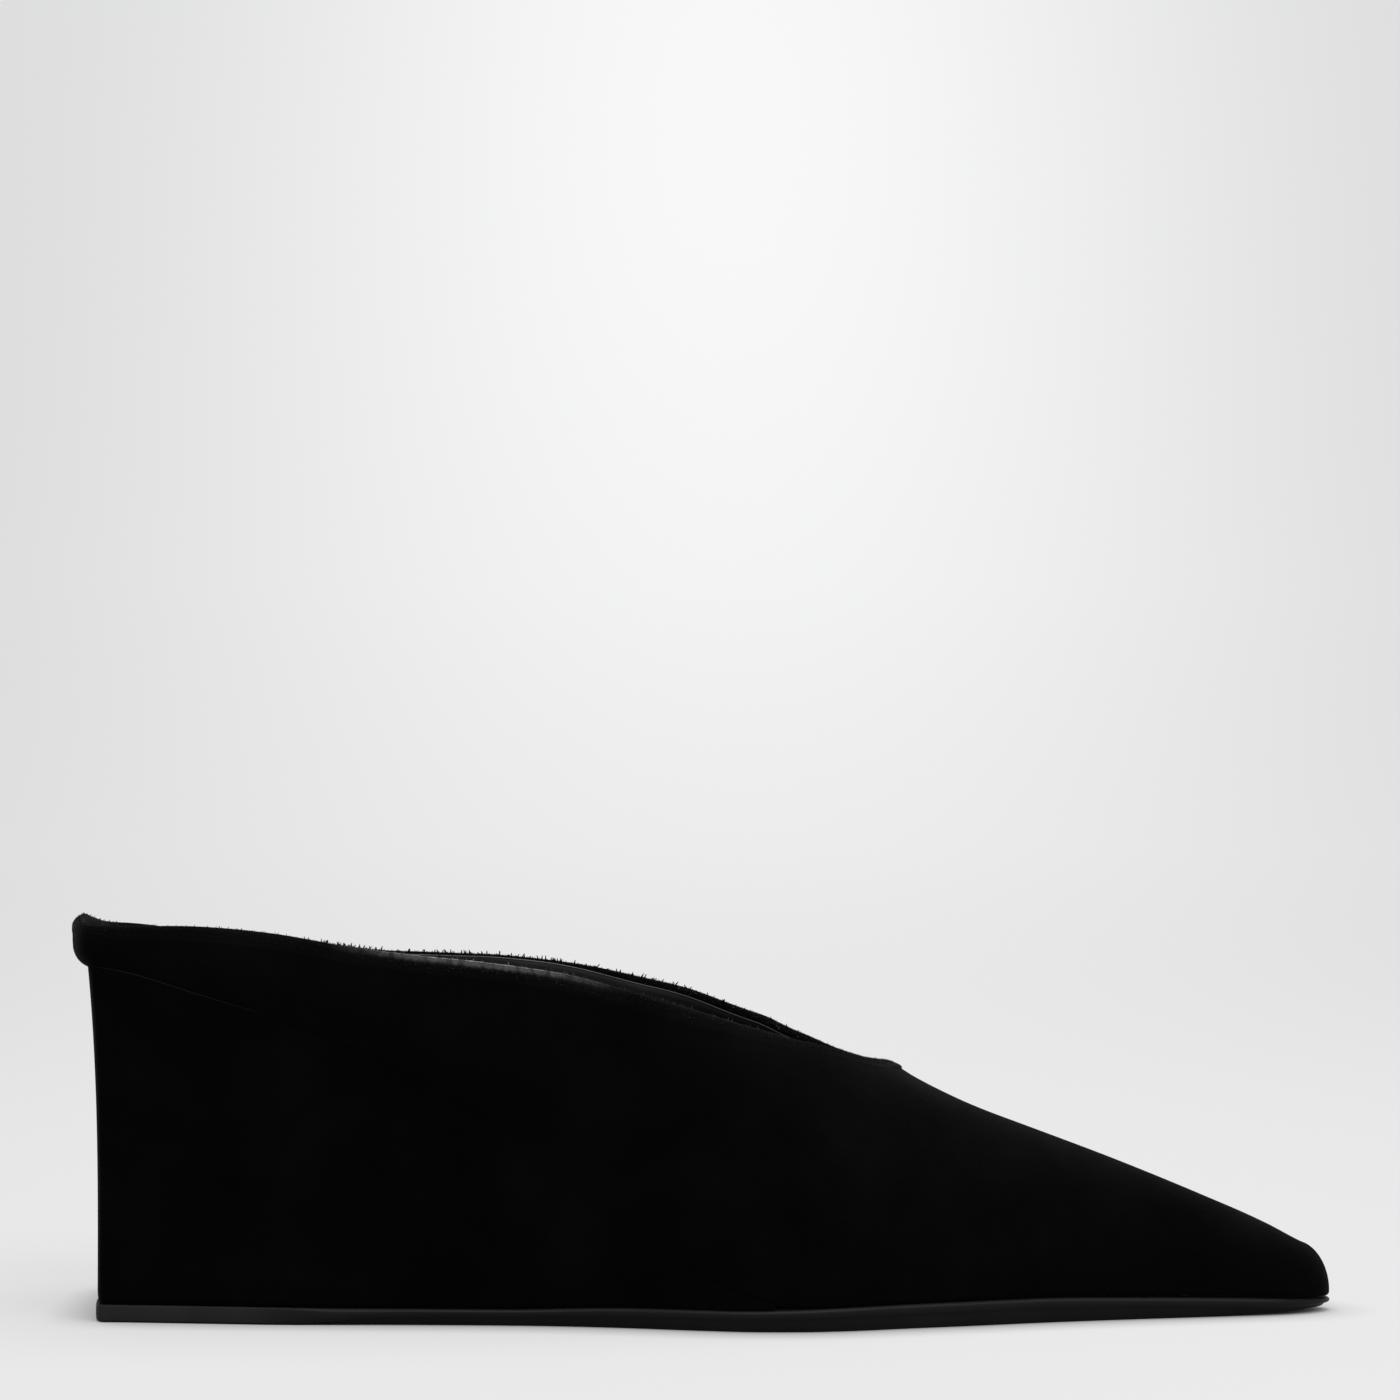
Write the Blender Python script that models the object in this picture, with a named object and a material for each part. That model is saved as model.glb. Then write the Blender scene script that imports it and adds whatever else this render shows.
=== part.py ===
"""Velvet wedge mule with a pointed toe, a right shoe, as its outsole, wedge, upper and insole.

Frame: +X runs from the heel to the toe, +Y to the wearer's left, which is this shoe's inner side, and +Z is up.
The origin is on the floor, in the middle of the shoe's outline. Lengths are in metres.
Every outline and section is a short table of shares, read by a smooth curve through its rows.
"""

import math

import bmesh
import bpy
import numpy as np

# Driving dimensions of the whole shoe
LENGTH = 0.2612
BALL_WIDTH = 0.0794
WEDGE_RISE = 0.0680
VAMP_HEIGHT = 0.0459
SOLE_THICKNESS = 0.0050

# Outsole: where its back edge stands, its lifted toe, its lower bevel and its rounded lip
SOLE_BACK = 0.0059
TOE_SPRING = 0.0012
BEVEL_DEPTH = 0.0014
LIP_ROUND = 0.0005

# Wedge: its cover stands this far inside the sole's edge, and it widens towards the top
COVER_STEP = 0.0003
BACK_FLARE = 0.0022
SIDE_FLARE = 0.0010
WEDGE_FRONT = 0.555

# Upper: wall, the margin lasted under the foot, the rolled lower edge and the folded bead of the collar.
# The rim falls from the middle of the back to its corners with this power of the distance outwards.
WALL = 0.0017
MARGIN = 0.0070
ROLL = 0.0022
BACK_RIM = 0.0094
RIM_FALL = 1.3
RIM_LEAN = 0.0007
BACK_TUCK = 0.0003
SIDE_OVERHANG = 0.0015
BULGE = 0.0012
BEAD_HEIGHT = 0.0022
BEAD_STEP = 0.0004
RIM_CROWN = 0.0004

# Insole: its edge stands this far inside the wall's rolled foot
INSOLE_THICKNESS = 0.0026
INSOLE_ROUND = 0.0006
INSOLE_CLEARANCE = 0.0006

# Inner corner where the wall meets its margin, at the least
SMALLEST_CORNER = 0.0004

# Gap between pieces that touch
GAP = 0.0003

# Plan of the back and of the toe: how square the corners are, and how far the middle of the back stands out
COLLAR_SQUARENESS = 5.0
HEEL_SQUARENESS = 11.0
COLLAR_BOW = 0.0020
HEEL_BOW = 0.0015
TIP_OFFSET = 0.0012
TOE_SIDE = 0.84
TOE_FRONT = 0.45
NOSE_TOP = 0.976

# How finely the shapes are stepped
BACK_STEPS = 7
TOE_STEPS = 6
LONGEST_STEP = 0.036
SIDE_ROWS = 8
WEDGE_ROWS = 7
CURVE_POINTS = 49

LATERAL = -1
MEDIAL = 1

# Where both sides of the collar meet on the ridge, as a share of the length
THROAT = 0.647


def table(names, rows):
    """A table's columns by name. The first column is the place along the shoe, as a share of its length."""
    return dict(zip(names.split(), np.array(rows, float).T))


# Outsole's edge from the middle line, as shares of half the ball width
OUTLINE = table(
    "along lateral medial",
    [
        (0.049, 0.700, 0.690),
        (0.110, 0.736, 0.700),
        (0.168, 0.768, 0.685),
        (0.225, 0.781, 0.662),
        (0.283, 0.783, 0.640),
        (0.340, 0.790, 0.630),
        (0.394, 0.816, 0.652),
        (0.444, 0.872, 0.720),
        (0.493, 0.947, 0.816),
        (0.543, 0.998, 0.914),
        (0.578, 0.990, 0.972),
        (0.608, 0.952, 0.998),
        (0.631, 0.905, 1.000),
        (THROAT, 0.864, 0.990),
        (0.665, 0.823, 0.965),
        (0.704, 0.738, 0.875),
        (0.762, 0.602, 0.720),
        (0.831, 0.463, 0.548),
        (0.896, 0.350, 0.403),
        (0.946, 0.262, 0.312),
    ],
)

# Outsole: top of its edge as a share of its thickness, the share of that height that the bevel takes,
# and how far the underside has lifted, as a share of the toe spring
SOLE = table(
    "along top bevel spring",
    [
        (0.000, 0.70, 0.06, 0.00),
        (0.180, 0.70, 0.08, 0.00),
        (0.265, 0.70, 0.66, 0.00),
        (0.340, 0.70, 0.70, 0.00),
        (0.444, 0.86, 0.72, 0.00),
        (0.543, 0.90, 0.73, 0.00),
        (0.631, 1.00, 0.74, 0.00),
        (0.762, 1.04, 0.74, 0.00),
        (0.831, 0.95, 0.72, 0.00),
        (0.896, 0.84, 0.66, 0.10),
        (0.946, 0.73, 0.50, 0.40),
        (1.000, 0.54, 0.40, 1.00),
    ],
)

# Underside of the upper above the outsole, as a share of the wedge's rise
SEAT = table(
    "along rise",
    [
        (0.000, 1.003),
        (0.049, 0.984),
        (0.110, 0.919),
        (0.168, 0.853),
        (0.225, 0.769),
        (0.283, 0.665),
        (0.340, 0.541),
        (0.394, 0.379),
        (0.444, 0.224),
        (0.493, 0.109),
        (0.543, 0.024),
        (0.578, 0.000),
        (1.000, 0.000),
    ],
)

# Collar and vamp ridge above the upper's underside, as shares of the vamp's height
SIDES = table(
    "along lateral medial",
    [
        (0.000, 0.179, 0.138),
        (0.049, 0.203, 0.149),
        (0.110, 0.298, 0.226),
        (0.168, 0.366, 0.283),
        (0.225, 0.435, 0.361),
        (0.283, 0.549, 0.501),
        (0.340, 0.685, 0.671),
        (0.394, 0.862, 0.869),
        (0.444, 1.013, 1.035),
        (0.493, 1.111, 1.140),
        (0.543, 1.153, 1.168),
        (0.578, 1.126, 1.115),
        (0.608, 1.071, 1.042),
        (0.631, 1.022, 1.005),
        (THROAT, 1.000, 1.000),
        (0.665, 0.938, 0.938),
        (0.704, 0.825, 0.825),
        (0.762, 0.697, 0.697),
        (0.831, 0.561, 0.561),
        (0.896, 0.424, 0.424),
        (0.946, 0.313, 0.313),
        (0.976, 0.236, 0.236),
        (1.000, 0.200, 0.200),
    ],
)

# Collar's edge from the shoe's ridge line, and that line's shift to the inner side, as shares of half the width
COLLAR = table(
    "along lateral medial ridge",
    [
        (0.049, 0.703, 0.690, 0.000),
        (0.110, 0.722, 0.686, 0.000),
        (0.168, 0.737, 0.668, 0.000),
        (0.225, 0.737, 0.648, 0.000),
        (0.283, 0.730, 0.632, 0.000),
        (0.340, 0.722, 0.624, 0.000),
        (0.394, 0.706, 0.614, 0.004),
        (0.444, 0.679, 0.590, 0.010),
        (0.493, 0.630, 0.540, 0.018),
        (0.543, 0.537, 0.450, 0.026),
        (0.578, 0.430, 0.360, 0.032),
        (0.608, 0.304, 0.254, 0.036),
        (0.631, 0.172, 0.144, 0.040),
        (THROAT, 0.000, 0.000, 0.043),
        (0.704, 0.000, 0.000, 0.060),
        (0.762, 0.000, 0.000, 0.060),
        (0.896, 0.000, 0.000, 0.040),
        (1.000, 0.000, 0.000, 0.030),
    ],
)

# Form of the wall: how its shoulder is shaped, how far it overhangs, and its rolled lower edge
FORM = table(
    "along out drop bulge overhang run climb",
    [
        (0.000, 0.50, 0.40, 0.65, 1.00, 1.50, 2.05),
        (0.049, 0.50, 0.40, 0.30, 1.00, 1.15, 1.40),
        (0.110, 0.50, 0.38, 0.30, 0.87, 1.00, 1.10),
        (0.225, 0.55, 0.35, 0.40, 0.60, 1.00, 1.00),
        (0.340, 0.60, 0.33, 0.60, 0.33, 1.00, 1.00),
        (0.444, 0.65, 0.30, 0.80, 0.07, 1.00, 1.00),
        (0.543, 0.72, 0.24, 1.00, -0.20, 1.00, 1.00),
        (0.578, 0.70, 0.18, 1.00, -0.27, 1.00, 1.00),
        (0.608, 0.64, 0.10, 1.00, -0.27, 1.00, 1.00),
        (0.631, 0.58, 0.04, 1.00, -0.27, 1.00, 1.00),
        (THROAT, 0.55, 0.00, 1.00, -0.27, 1.00, 1.00),
        (0.762, 0.55, 0.00, 0.85, -0.27, 1.00, 1.00),
        (0.896, 0.60, 0.00, 0.60, -0.23, 0.90, 0.90),
        (0.946, 0.62, 0.00, 0.40, -0.20, 0.75, 0.70),
        (1.000, 0.63, 0.15, 0.10, -0.20, 0.50, 0.45),
    ],
)

# Height of the wall's lower handle, as a share of its height
LOW_HANDLE = 0.42

# Rows of the collar's bead: distance below the edge as a share of its height, and its step out
BEAD = ((0.0, 0.0), (0.22, 0.8), (0.60, 1.0), (0.92, 0.7), (1.08, 0.0))

# Length over which the bead dies away before the throat, as a share of the shoe's length
BEAD_FADE = 0.03


def slopes(x, y):
    """Slopes at each row that keep the curve from swinging past its rows."""
    step = np.diff(x)
    rate = np.diff(y) / step
    inner = (rate[:-1] * step[1:] + rate[1:] * step[:-1]) / (step[:-1] + step[1:])
    limit = 2 * np.minimum(abs(rate[:-1]), abs(rate[1:]))
    same = np.sign(rate[:-1]) * (np.sign(rate[:-1]) == np.sign(rate[1:]))
    inner = same * np.minimum(abs(inner), limit)
    return np.concatenate(([rate[0]], inner, [rate[-1]]))


def read(rows, column, along):
    """A table's column at one place along the shoe, on a smooth curve through its rows."""
    x = rows["along"]
    y = rows[column]
    along = min(max(along, x[0]), x[-1])
    row = min(int(np.searchsorted(x, along, side="right")) - 1, len(x) - 2)
    slope = slopes(x, y)
    step = x[row + 1] - x[row]
    t = (along - x[row]) / step
    rising = t * t * (3 - 2 * t)
    start = t * (1 - t) ** 2 * step * slope[row]
    end = t * t * (1 - t) * step * slope[row + 1]
    return float(y[row] + rising * (y[row + 1] - y[row]) + start - end)


def side_name(side):
    return "lateral" if side == LATERAL else "medial"


def along_of(x):
    return x / LENGTH + 0.5


def x_of(along):
    return (along - 0.5) * LENGTH


def sole_top(x):
    return SOLE_THICKNESS * read(SOLE, "top", along_of(x))


def sole_bottom(x):
    return TOE_SPRING * read(SOLE, "spring", along_of(x))


def underside(x):
    """Height of the upper's underside, on the wedge or on the outsole."""
    return sole_top(x) + GAP + WEDGE_RISE * read(SEAT, "rise", along_of(x))


def wall_height(x, side):
    return VAMP_HEIGHT * read(SIDES, side_name(side), along_of(x))


def ridge_y(x):
    return BALL_WIDTH / 2 * read(COLLAR, "ridge", along_of(x))


def collar_y(x, side):
    """The collar's edge, measured outwards on its side."""
    return BALL_WIDTH / 2 * read(COLLAR, side_name(side), along_of(x)) + side * ridge_y(x)


def sole_y(x, side):
    """The outsole's edge, measured outwards on its side."""
    return BALL_WIDTH / 2 * read(OUTLINE, side_name(side), along_of(x))


def upper_y(x, side):
    """The upper's lower edge, measured outwards on its side."""
    return sole_y(x, side) + SIDE_OVERHANG * read(FORM, "overhang", along_of(x))


def stations():
    """Places along the sides where every piece has a section: the outline's rows, and steps between them."""
    rows = OUTLINE["along"]
    places = [rows[0]]
    for start, end in zip(rows[:-1], rows[1:]):
        steps = math.ceil((end - start) / LONGEST_STEP)
        places += [start + (end - start) * step / steps for step in range(1, steps + 1)]
    return [x_of(place) for place in places]


STATIONS = stations()


def bezier(points, t):
    """A point on a cubic curve."""
    a, b, c, d = (np.array(point, float) for point in points)
    return (1 - t) ** 3 * a + 3 * t * (1 - t) ** 2 * b + 3 * t * t * (1 - t) * c + t**3 * d


def back_points(side, width, back, squareness, bow):
    """Plan of the back from its middle to the first station, as x and the distance outwards."""
    first = STATIONS[0]
    half = width(first, side)
    points = []
    for step in range(BACK_STEPS):
        turn = math.pi / 2 * step / BACK_STEPS
        out = math.sin(turn) ** (2 / squareness)
        edge = back + bow * out**2
        points.append((first - (first - edge) * math.cos(turn) ** (2 / squareness), half * out))
    return points


def toe_points(side, width, tip):
    """Plan of the toe from the last station, without it, to the tip."""
    last = STATIONS[-1]
    middle = side * TIP_OFFSET
    half = width(last, side) - middle
    run = tip - last
    handles = [(last, half), (last + run / 2, half * TOE_SIDE), (tip, half * TOE_FRONT), (tip, 0)]
    points = []
    for step in range(1, TOE_STEPS + 1):
        x, out = bezier(handles, step / TOE_STEPS)
        points.append((float(x), float(out) + middle))
    return points


def half_plan(side, width, back, tip, squareness, bow):
    """Plan of one side from the middle of the back to the tip."""
    points = back_points(side, width, back, squareness, bow)
    points += [(x, width(x, side)) for x in STATIONS]
    points += toe_points(side, width, tip)
    return [(x, side * out) for x, out in points]


def new_object(name, mesh_builder, material, parent):
    """An object from the faces that mesh_builder puts into an empty mesh."""
    mesh = bpy.data.meshes.new(name)
    shape = bmesh.new()
    mesh_builder(shape)
    bmesh.ops.recalc_face_normals(shape, faces=shape.faces)
    shape.to_mesh(mesh)
    shape.free()
    mesh.shade_smooth()
    mesh.set_sharp_from_angle(angle=math.radians(40))
    mesh.materials.append(material)
    made = bpy.data.objects.new(name, mesh)
    bpy.context.scene.collection.objects.link(made)
    made.parent = parent
    return made


def add_loops(shape, levels):
    """Closed loops of points. Each level holds a lateral and a medial half, which share their ends."""
    loops = []
    for lateral, medial in levels:
        points = lateral + medial[-2:0:-1]
        loops.append([shape.verts.new(point) for point in points])
    return loops


def bridge(shape, lower, upper):
    """Four-sided faces between two closed loops with as many points."""
    count = len(lower)
    for index in range(count):
        after = (index + 1) % count
        shape.faces.new((lower[index], lower[after], upper[after], upper[index]))


def cap(shape, loop):
    """Fills a closed loop with strips from side to side, so that a cap bends only along the shoe."""
    last = len(loop) // 2
    near = loop[: last + 1]
    far = [loop[0]] + loop[:last:-1] + [loop[last]]
    for index in range(last):
        strip = [near[index], near[index + 1], far[index + 1], far[index]]
        shape.faces.new(dict.fromkeys(strip))


def stacked(shape, levels):
    """A solid from a stack of closed loops, with a cap below and above."""
    loops = add_loops(shape, levels)
    for lower, upper in zip(loops[:-1], loops[1:]):
        bridge(shape, lower, upper)
    cap(shape, loops[0])
    cap(shape, loops[-1])


def build_outsole(shape):
    """Outsole: a flat underside with a lifted toe, a lower bevel that grows from the waist, and a rounded lip."""

    def level(inset_share, height, bevelled):
        halves = []
        for side in (LATERAL, MEDIAL):

            def inset(x):
                bevel = BEVEL_DEPTH * read(SOLE, "bevel", along_of(x)) if bevelled else 0
                return bevel + LIP_ROUND * inset_share

            def width(x, side):
                return sole_y(x, side) - inset(x)

            back = x_of(0) + SOLE_BACK + inset(x_of(0))
            tip = x_of(1) - inset(x_of(1))
            plan = half_plan(side, width, back, tip, HEEL_SQUARENESS, HEEL_BOW)
            halves.append([(x, y, height(x)) for x, y in plan])
        return halves

    def bevel_top(x):
        return sole_bottom(x) + (sole_top(x) - sole_bottom(x)) * read(SOLE, "bevel", along_of(x))

    def lip_top(x):
        return sole_top(x) - LIP_ROUND * 0.6

    def lip_middle(x):
        return (bevel_top(x) + lip_top(x)) / 2

    stacked(
        shape,
        [
            level(0.4, sole_bottom, True),
            level(0.3, bevel_top, False),
            level(0.0, lip_middle, False),
            level(0.2, lip_top, False),
            level(1.0, sole_top, False),
        ],
    )


def build_wedge(shape):
    """Covered wedge: a flat square back that flares at the top, and a top that follows the foot down to the ball."""
    front = x_of(WEDGE_FRONT)
    places = [x for x in STATIONS if x < front] + [front]

    def bottom(x):
        return sole_top(x) + GAP

    def top(x):
        return underside(x) - GAP

    def half(side, share):
        flare = share**3

        def width(x, side):
            spread = SIDE_FLARE * read(SEAT, "rise", along_of(x)) * flare
            return sole_y(x, side) - COVER_STEP + spread

        back = x_of(0) + SOLE_BACK + COVER_STEP - BACK_FLARE * flare
        plan = back_points(side, width, back, HEEL_SQUARENESS, HEEL_BOW)
        plan += [(x, width(x, side)) for x in places]
        plan.append((front, 0))
        return [(x, side * out, bottom(x) + (top(x) - bottom(x)) * share) for x, out in plan]

    shares = [row / WEDGE_ROWS for row in range(WEDGE_ROWS + 1)]
    stacked(shape, [(half(LATERAL, share), half(MEDIAL, share)) for share in shares])


def wall_curve(run_in, start, top, along):
    """The wall's outer face in its own section, from the rolled edge to the collar or ridge: inwards and up."""
    rise = top - start
    handles = [
        (0, start),
        (-BULGE * read(FORM, "bulge", along), start + LOW_HANDLE * rise),
        (run_in * (1 - read(FORM, "out", along)), top - read(FORM, "drop", along) * rise),
        (run_in, top),
    ]
    return np.array([bezier(handles, t) for t in np.linspace(0, 1, CURVE_POINTS)])


def normals(curve):
    """Unit normals of a section's curve that point into the shoe."""
    tangent = np.gradient(curve, axis=0)
    tangent /= np.linalg.norm(tangent, axis=1)[:, None]
    return np.stack([tangent[:, 1], -tangent[:, 0]], axis=1)


def resample(curve, normal, distances):
    """Points and normals of a curve at distances back from its end."""
    lengths = np.concatenate(([0], np.cumsum(np.linalg.norm(np.diff(curve, axis=0), axis=1))))
    places = lengths[-1] - np.array(distances)
    points = np.stack([np.interp(places, lengths, curve[:, axis]) for axis in (0, 1)], axis=1)
    facing = np.stack([np.interp(places, lengths, normal[:, axis]) for axis in (0, 1)], axis=1)
    return points, facing


def arc(start_in, start_z, end_in, end_z, shares):
    """Points of a quarter ellipse from a flat underside to an upright wall."""
    points = []
    for share in shares:
        turn = math.pi / 2 * share
        points.append((start_in + (end_in - start_in) * math.sin(turn), end_z + (start_z - end_z) * math.cos(turn)))
    return points


def wall_section(along, base, top, run_in, closed):
    """One section of the upper's wall: its outer and inner points from the rolled edge up, inwards and up."""
    run = ROLL * read(FORM, "run", along)
    climb = ROLL * read(FORM, "climb", along)
    curve = wall_curve(run_in, base + climb, top, along)
    length = np.linalg.norm(np.diff(curve, axis=0), axis=1).sum()
    bead_rows, bead_steps = np.array(BEAD).T
    bead_rows = bead_rows * BEAD_HEIGHT
    down = np.concatenate((bead_rows, np.linspace(bead_rows[-1], length, SIDE_ROWS)[1:]))
    side, inwards = resample(curve, normals(curve), down)
    fade = min(1, max(0, (THROAT - along) / BEAD_FADE))
    step_out = BEAD_STEP * fade * np.pad(bead_steps, (0, SIDE_ROWS - 1))
    outer_side = side - inwards * step_out[:, None]
    outer = arc(run, base, 0, base + climb, (0, 0.35, 0.7)) + [tuple(point) for point in outer_side[::-1]]

    corner_run = max(run - WALL, SMALLEST_CORNER)
    corner_climb = max(climb - WALL, SMALLEST_CORNER)
    corner_top = base + WALL + corner_climb
    corner = arc(WALL + corner_run, base + WALL, WALL, corner_top, (0, 0.5, 1))
    inner_side = [(inward, max(z, corner_top)) for inward, z in side + inwards * WALL]
    under_bead = inner_side[len(BEAD) - 1 : -1]
    edge = (run_in, top - WALL) if closed else inner_side[0]
    return outer, corner + under_bead[::-1] + [edge]


def upper_columns(side):
    """One side's sections from the middle of the back to the tip: outer points, inner points and the rim's crown."""
    back = x_of(0) + BACK_TUCK
    tip = x_of(1) - COVER_STEP
    rim_back = x_of(0) + RIM_LEAN
    edge = half_plan(side, upper_y, back, tip, COLLAR_SQUARENESS, COLLAR_BOW)
    rim = back_points(side, collar_y, rim_back, COLLAR_SQUARENESS, COLLAR_BOW)
    rim += [(x, collar_y(x, side)) for x in STATIONS]
    nose = x_of(NOSE_TOP)
    for step in range(1, TOE_STEPS + 1):
        x = STATIONS[-1] + (nose - STATIONS[-1]) * step / TOE_STEPS
        rim.append((x, side * ridge_y(x)))

    def margin(x):
        return min(MARGIN + ROLL, 0.5 * upper_y(x, side))

    def margin_y(x, side):
        return upper_y(x, side) - margin(x)

    flange = half_plan(
        side,
        margin_y,
        back + MARGIN + ROLL,
        tip - margin(STATIONS[-1]),
        COLLAR_SQUARENESS,
        COLLAR_BOW,
    )
    columns = []
    for (x, y), (rim_x, rim_out), (flange_x, flange_y) in zip(edge, rim, flange):
        along = along_of(x)
        height = wall_height(rim_x, side)
        if x < STATIONS[0]:
            across = abs(y) / upper_y(STATIONS[0], side)
            height += (BACK_RIM - height) * (1 - across**RIM_FALL)
        top = underside(rim_x) + height
        inward = np.array([rim_x - x, side * rim_out - y])
        run_in = float(np.linalg.norm(inward))
        inward /= run_in
        closed = along >= THROAT - 1e-6
        roll_x = x + inward[0] * ROLL * read(FORM, "run", along)
        outer, inner = wall_section(along, underside(roll_x), top, run_in, closed)

        def place(points):
            return [(x + inward[0] * a, y + inward[1] * a, z) for a, z in points]

        base = underside(flange_x)
        outer = [(flange_x, flange_y, base)] + place(outer)
        inner = [(flange_x, flange_y, base + WALL)] + place(inner)
        crown = (np.array(outer[-1]) + np.array(inner[-1])) / 2
        if not closed:
            crown[2] += RIM_CROWN
        columns.append({"outer": outer, "inner": inner, "crown": [crown], "closed": closed})
    return columns


def build_upper(shape):
    """Upper: one wall, open at the collar and underneath, where its margin turns in over the wedge and outsole."""
    lateral = upper_columns(LATERAL)
    medial = upper_columns(MEDIAL)
    throat = next(index for index, column in enumerate(lateral) if column["closed"])
    last = len(lateral) - 1

    def vertices(column, index, twin=None):
        """A section's vertices. Beyond the throat the two sides share the ridge, and they share both ends."""
        made = {}
        for name in ("outer", "inner"):
            made[name] = [shape.verts.new(point) for point in column[name][: -1 if twin else None]]
            if twin:
                made[name].append(twin[name][-1])
        if index <= throat:
            made["crown"] = twin["crown"] if twin else [shape.verts.new(column["crown"][0])]
        return made

    near = [vertices(column, index) for index, column in enumerate(lateral)]
    far = [near[0]]
    far += [vertices(medial[index], index, near[index] if index >= throat else None) for index in range(1, last)]
    far += [near[last]]

    def strip(first, second):
        for a, b, c, d in zip(first[:-1], first[1:], second[1:], second[:-1]):
            shape.faces.new((a, b, c, d))

    for side in (near, far):
        for index, (here, there) in enumerate(zip(side[:-1], side[1:])):
            strip(here["outer"], there["outer"])
            strip(here["inner"], there["inner"])
            strip([here["inner"][0], here["outer"][0]], [there["inner"][0], there["outer"][0]])
            if index < throat:
                edges = [[end["outer"][-1], end["crown"][0], end["inner"][-1]] for end in (here, there)]
                strip(*edges)


def build_insole(shape):
    """Insole: it lies on the upper's margin, closes the shoe underfoot and follows the wedge down to the toe."""

    def level(inset, lift):
        halves = []
        for side in (LATERAL, MEDIAL):

            def edge_inset(x):
                run = max(ROLL * read(FORM, "run", along_of(x)), WALL + SMALLEST_CORNER)
                return run + INSOLE_CLEARANCE + inset

            def width(x, side):
                return upper_y(x, side) - edge_inset(x)

            back = x_of(0) + BACK_TUCK + edge_inset(x_of(0))
            tip = x_of(1) - COVER_STEP - 2 * WALL - ROLL - inset
            plan = half_plan(side, width, back, tip, COLLAR_SQUARENESS, COLLAR_BOW)
            halves.append([(x, y, underside(x) + WALL + GAP + lift) for x, y in plan])
        return halves

    stacked(
        shape,
        [
            level(0, 0),
            level(0, INSOLE_THICKNESS - INSOLE_ROUND),
            level(INSOLE_ROUND, INSOLE_THICKNESS),
        ],
    )


def material(name, color, roughness, sheen=0.0):
    """A Principled material, with a sheen on cloth."""
    made = bpy.data.materials.new(name)
    made.use_nodes = True
    shader = made.node_tree.nodes["Principled BSDF"]
    shader.inputs["Base Color"].default_value = (*color, 1)
    shader.inputs["Roughness"].default_value = roughness
    shader.inputs["Metallic"].default_value = 0
    shader.inputs["Sheen Weight"].default_value = sheen
    made.diffuse_color = (*color, 1)
    return made


def main():
    for old in list(bpy.data.objects):
        bpy.data.objects.remove(old, do_unlink=True)
    shoe = bpy.data.objects.new("mule", None)
    bpy.context.scene.collection.objects.link(shoe)
    velvet = material("black velvet", (0.006, 0.006, 0.006), 0.9, sheen=0.3)
    rubber = material("black rubber", (0.016, 0.016, 0.017), 0.55)
    leather = material("black leather", (0.020, 0.020, 0.020), 0.45)
    new_object("outsole", build_outsole, rubber, shoe)
    new_object("wedge_heel", build_wedge, velvet, shoe)
    new_object("upper", build_upper, velvet, shoe)
    new_object("insole", build_insole, leather, shoe)


main()
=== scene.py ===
"""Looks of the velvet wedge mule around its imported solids: pile, bead, stitches, lining, footbed and sole.

Lengths are in metres. +X runs from the heel to the toe, +Y to the inner side of this right shoe, +Z up.
The outlines and sections are those of the solids, stepped more finely.
"""

import math

import bpy
import numpy as np
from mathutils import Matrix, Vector


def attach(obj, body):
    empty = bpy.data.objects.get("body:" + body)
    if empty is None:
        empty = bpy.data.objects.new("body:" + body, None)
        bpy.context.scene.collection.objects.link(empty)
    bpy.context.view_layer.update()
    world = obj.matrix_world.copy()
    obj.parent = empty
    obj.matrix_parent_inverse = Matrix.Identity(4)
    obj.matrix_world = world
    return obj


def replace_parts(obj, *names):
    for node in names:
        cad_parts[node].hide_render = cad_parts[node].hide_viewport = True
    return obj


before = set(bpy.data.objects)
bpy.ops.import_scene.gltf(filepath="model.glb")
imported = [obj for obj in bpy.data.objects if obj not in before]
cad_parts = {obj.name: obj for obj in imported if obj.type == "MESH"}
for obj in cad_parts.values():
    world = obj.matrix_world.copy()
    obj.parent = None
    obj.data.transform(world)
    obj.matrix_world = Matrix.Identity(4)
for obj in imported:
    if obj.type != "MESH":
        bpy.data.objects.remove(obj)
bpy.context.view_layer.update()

# The photograph's camera: its place, its focal length in pixels of the 1400 pixel frame, and its small roll
CAMERA_PLACE = (-0.0013, -0.951, 0.1265)
FRAME_PIXELS = 1400
FOCAL_PIXELS = 4563
SENSOR_WIDTH = 36
CAMERA_ROLL = -0.00456

# The two sides of the shoe, as the sign of Y, and a number too small to matter
LATERAL = -1
MEDIAL = 1
TINY = 1e-12

# Driving dimensions of the whole shoe
LENGTH = 0.2612
BALL_WIDTH = 0.0794
WEDGE_RISE = 0.0680
VAMP_HEIGHT = 0.0459
SOLE_THICKNESS = 0.0050

# Gap between pieces that touch
GAP = 0.0003

# Outsole: where its back edge stands, its lifted toe and its lower bevel
SOLE_BACK = 0.0059
TOE_SPRING = 0.0012
BEVEL_DEPTH = 0.0014

# Wedge: its cover stands this far inside the sole's edge, and it widens towards the top
COVER_STEP = 0.0003
BACK_FLARE = 0.0022
SIDE_FLARE = 0.0010
WEDGE_FRONT = 0.555

# Upper: its wall, its rolled lower edge with the largest share of the wall's height that the roll takes,
# where it stands at the back and the tip, how far it overhangs and bulges, and its lower handle's height
WALL = 0.0017
ROLL = 0.0022
LARGEST_CLIMB = 0.5
BACK_TUCK = 0.0003
TIP_STEP = 0.0001
SIDE_OVERHANG = 0.0015
BULGE = 0.0012
LOW_HANDLE = 0.42

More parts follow.
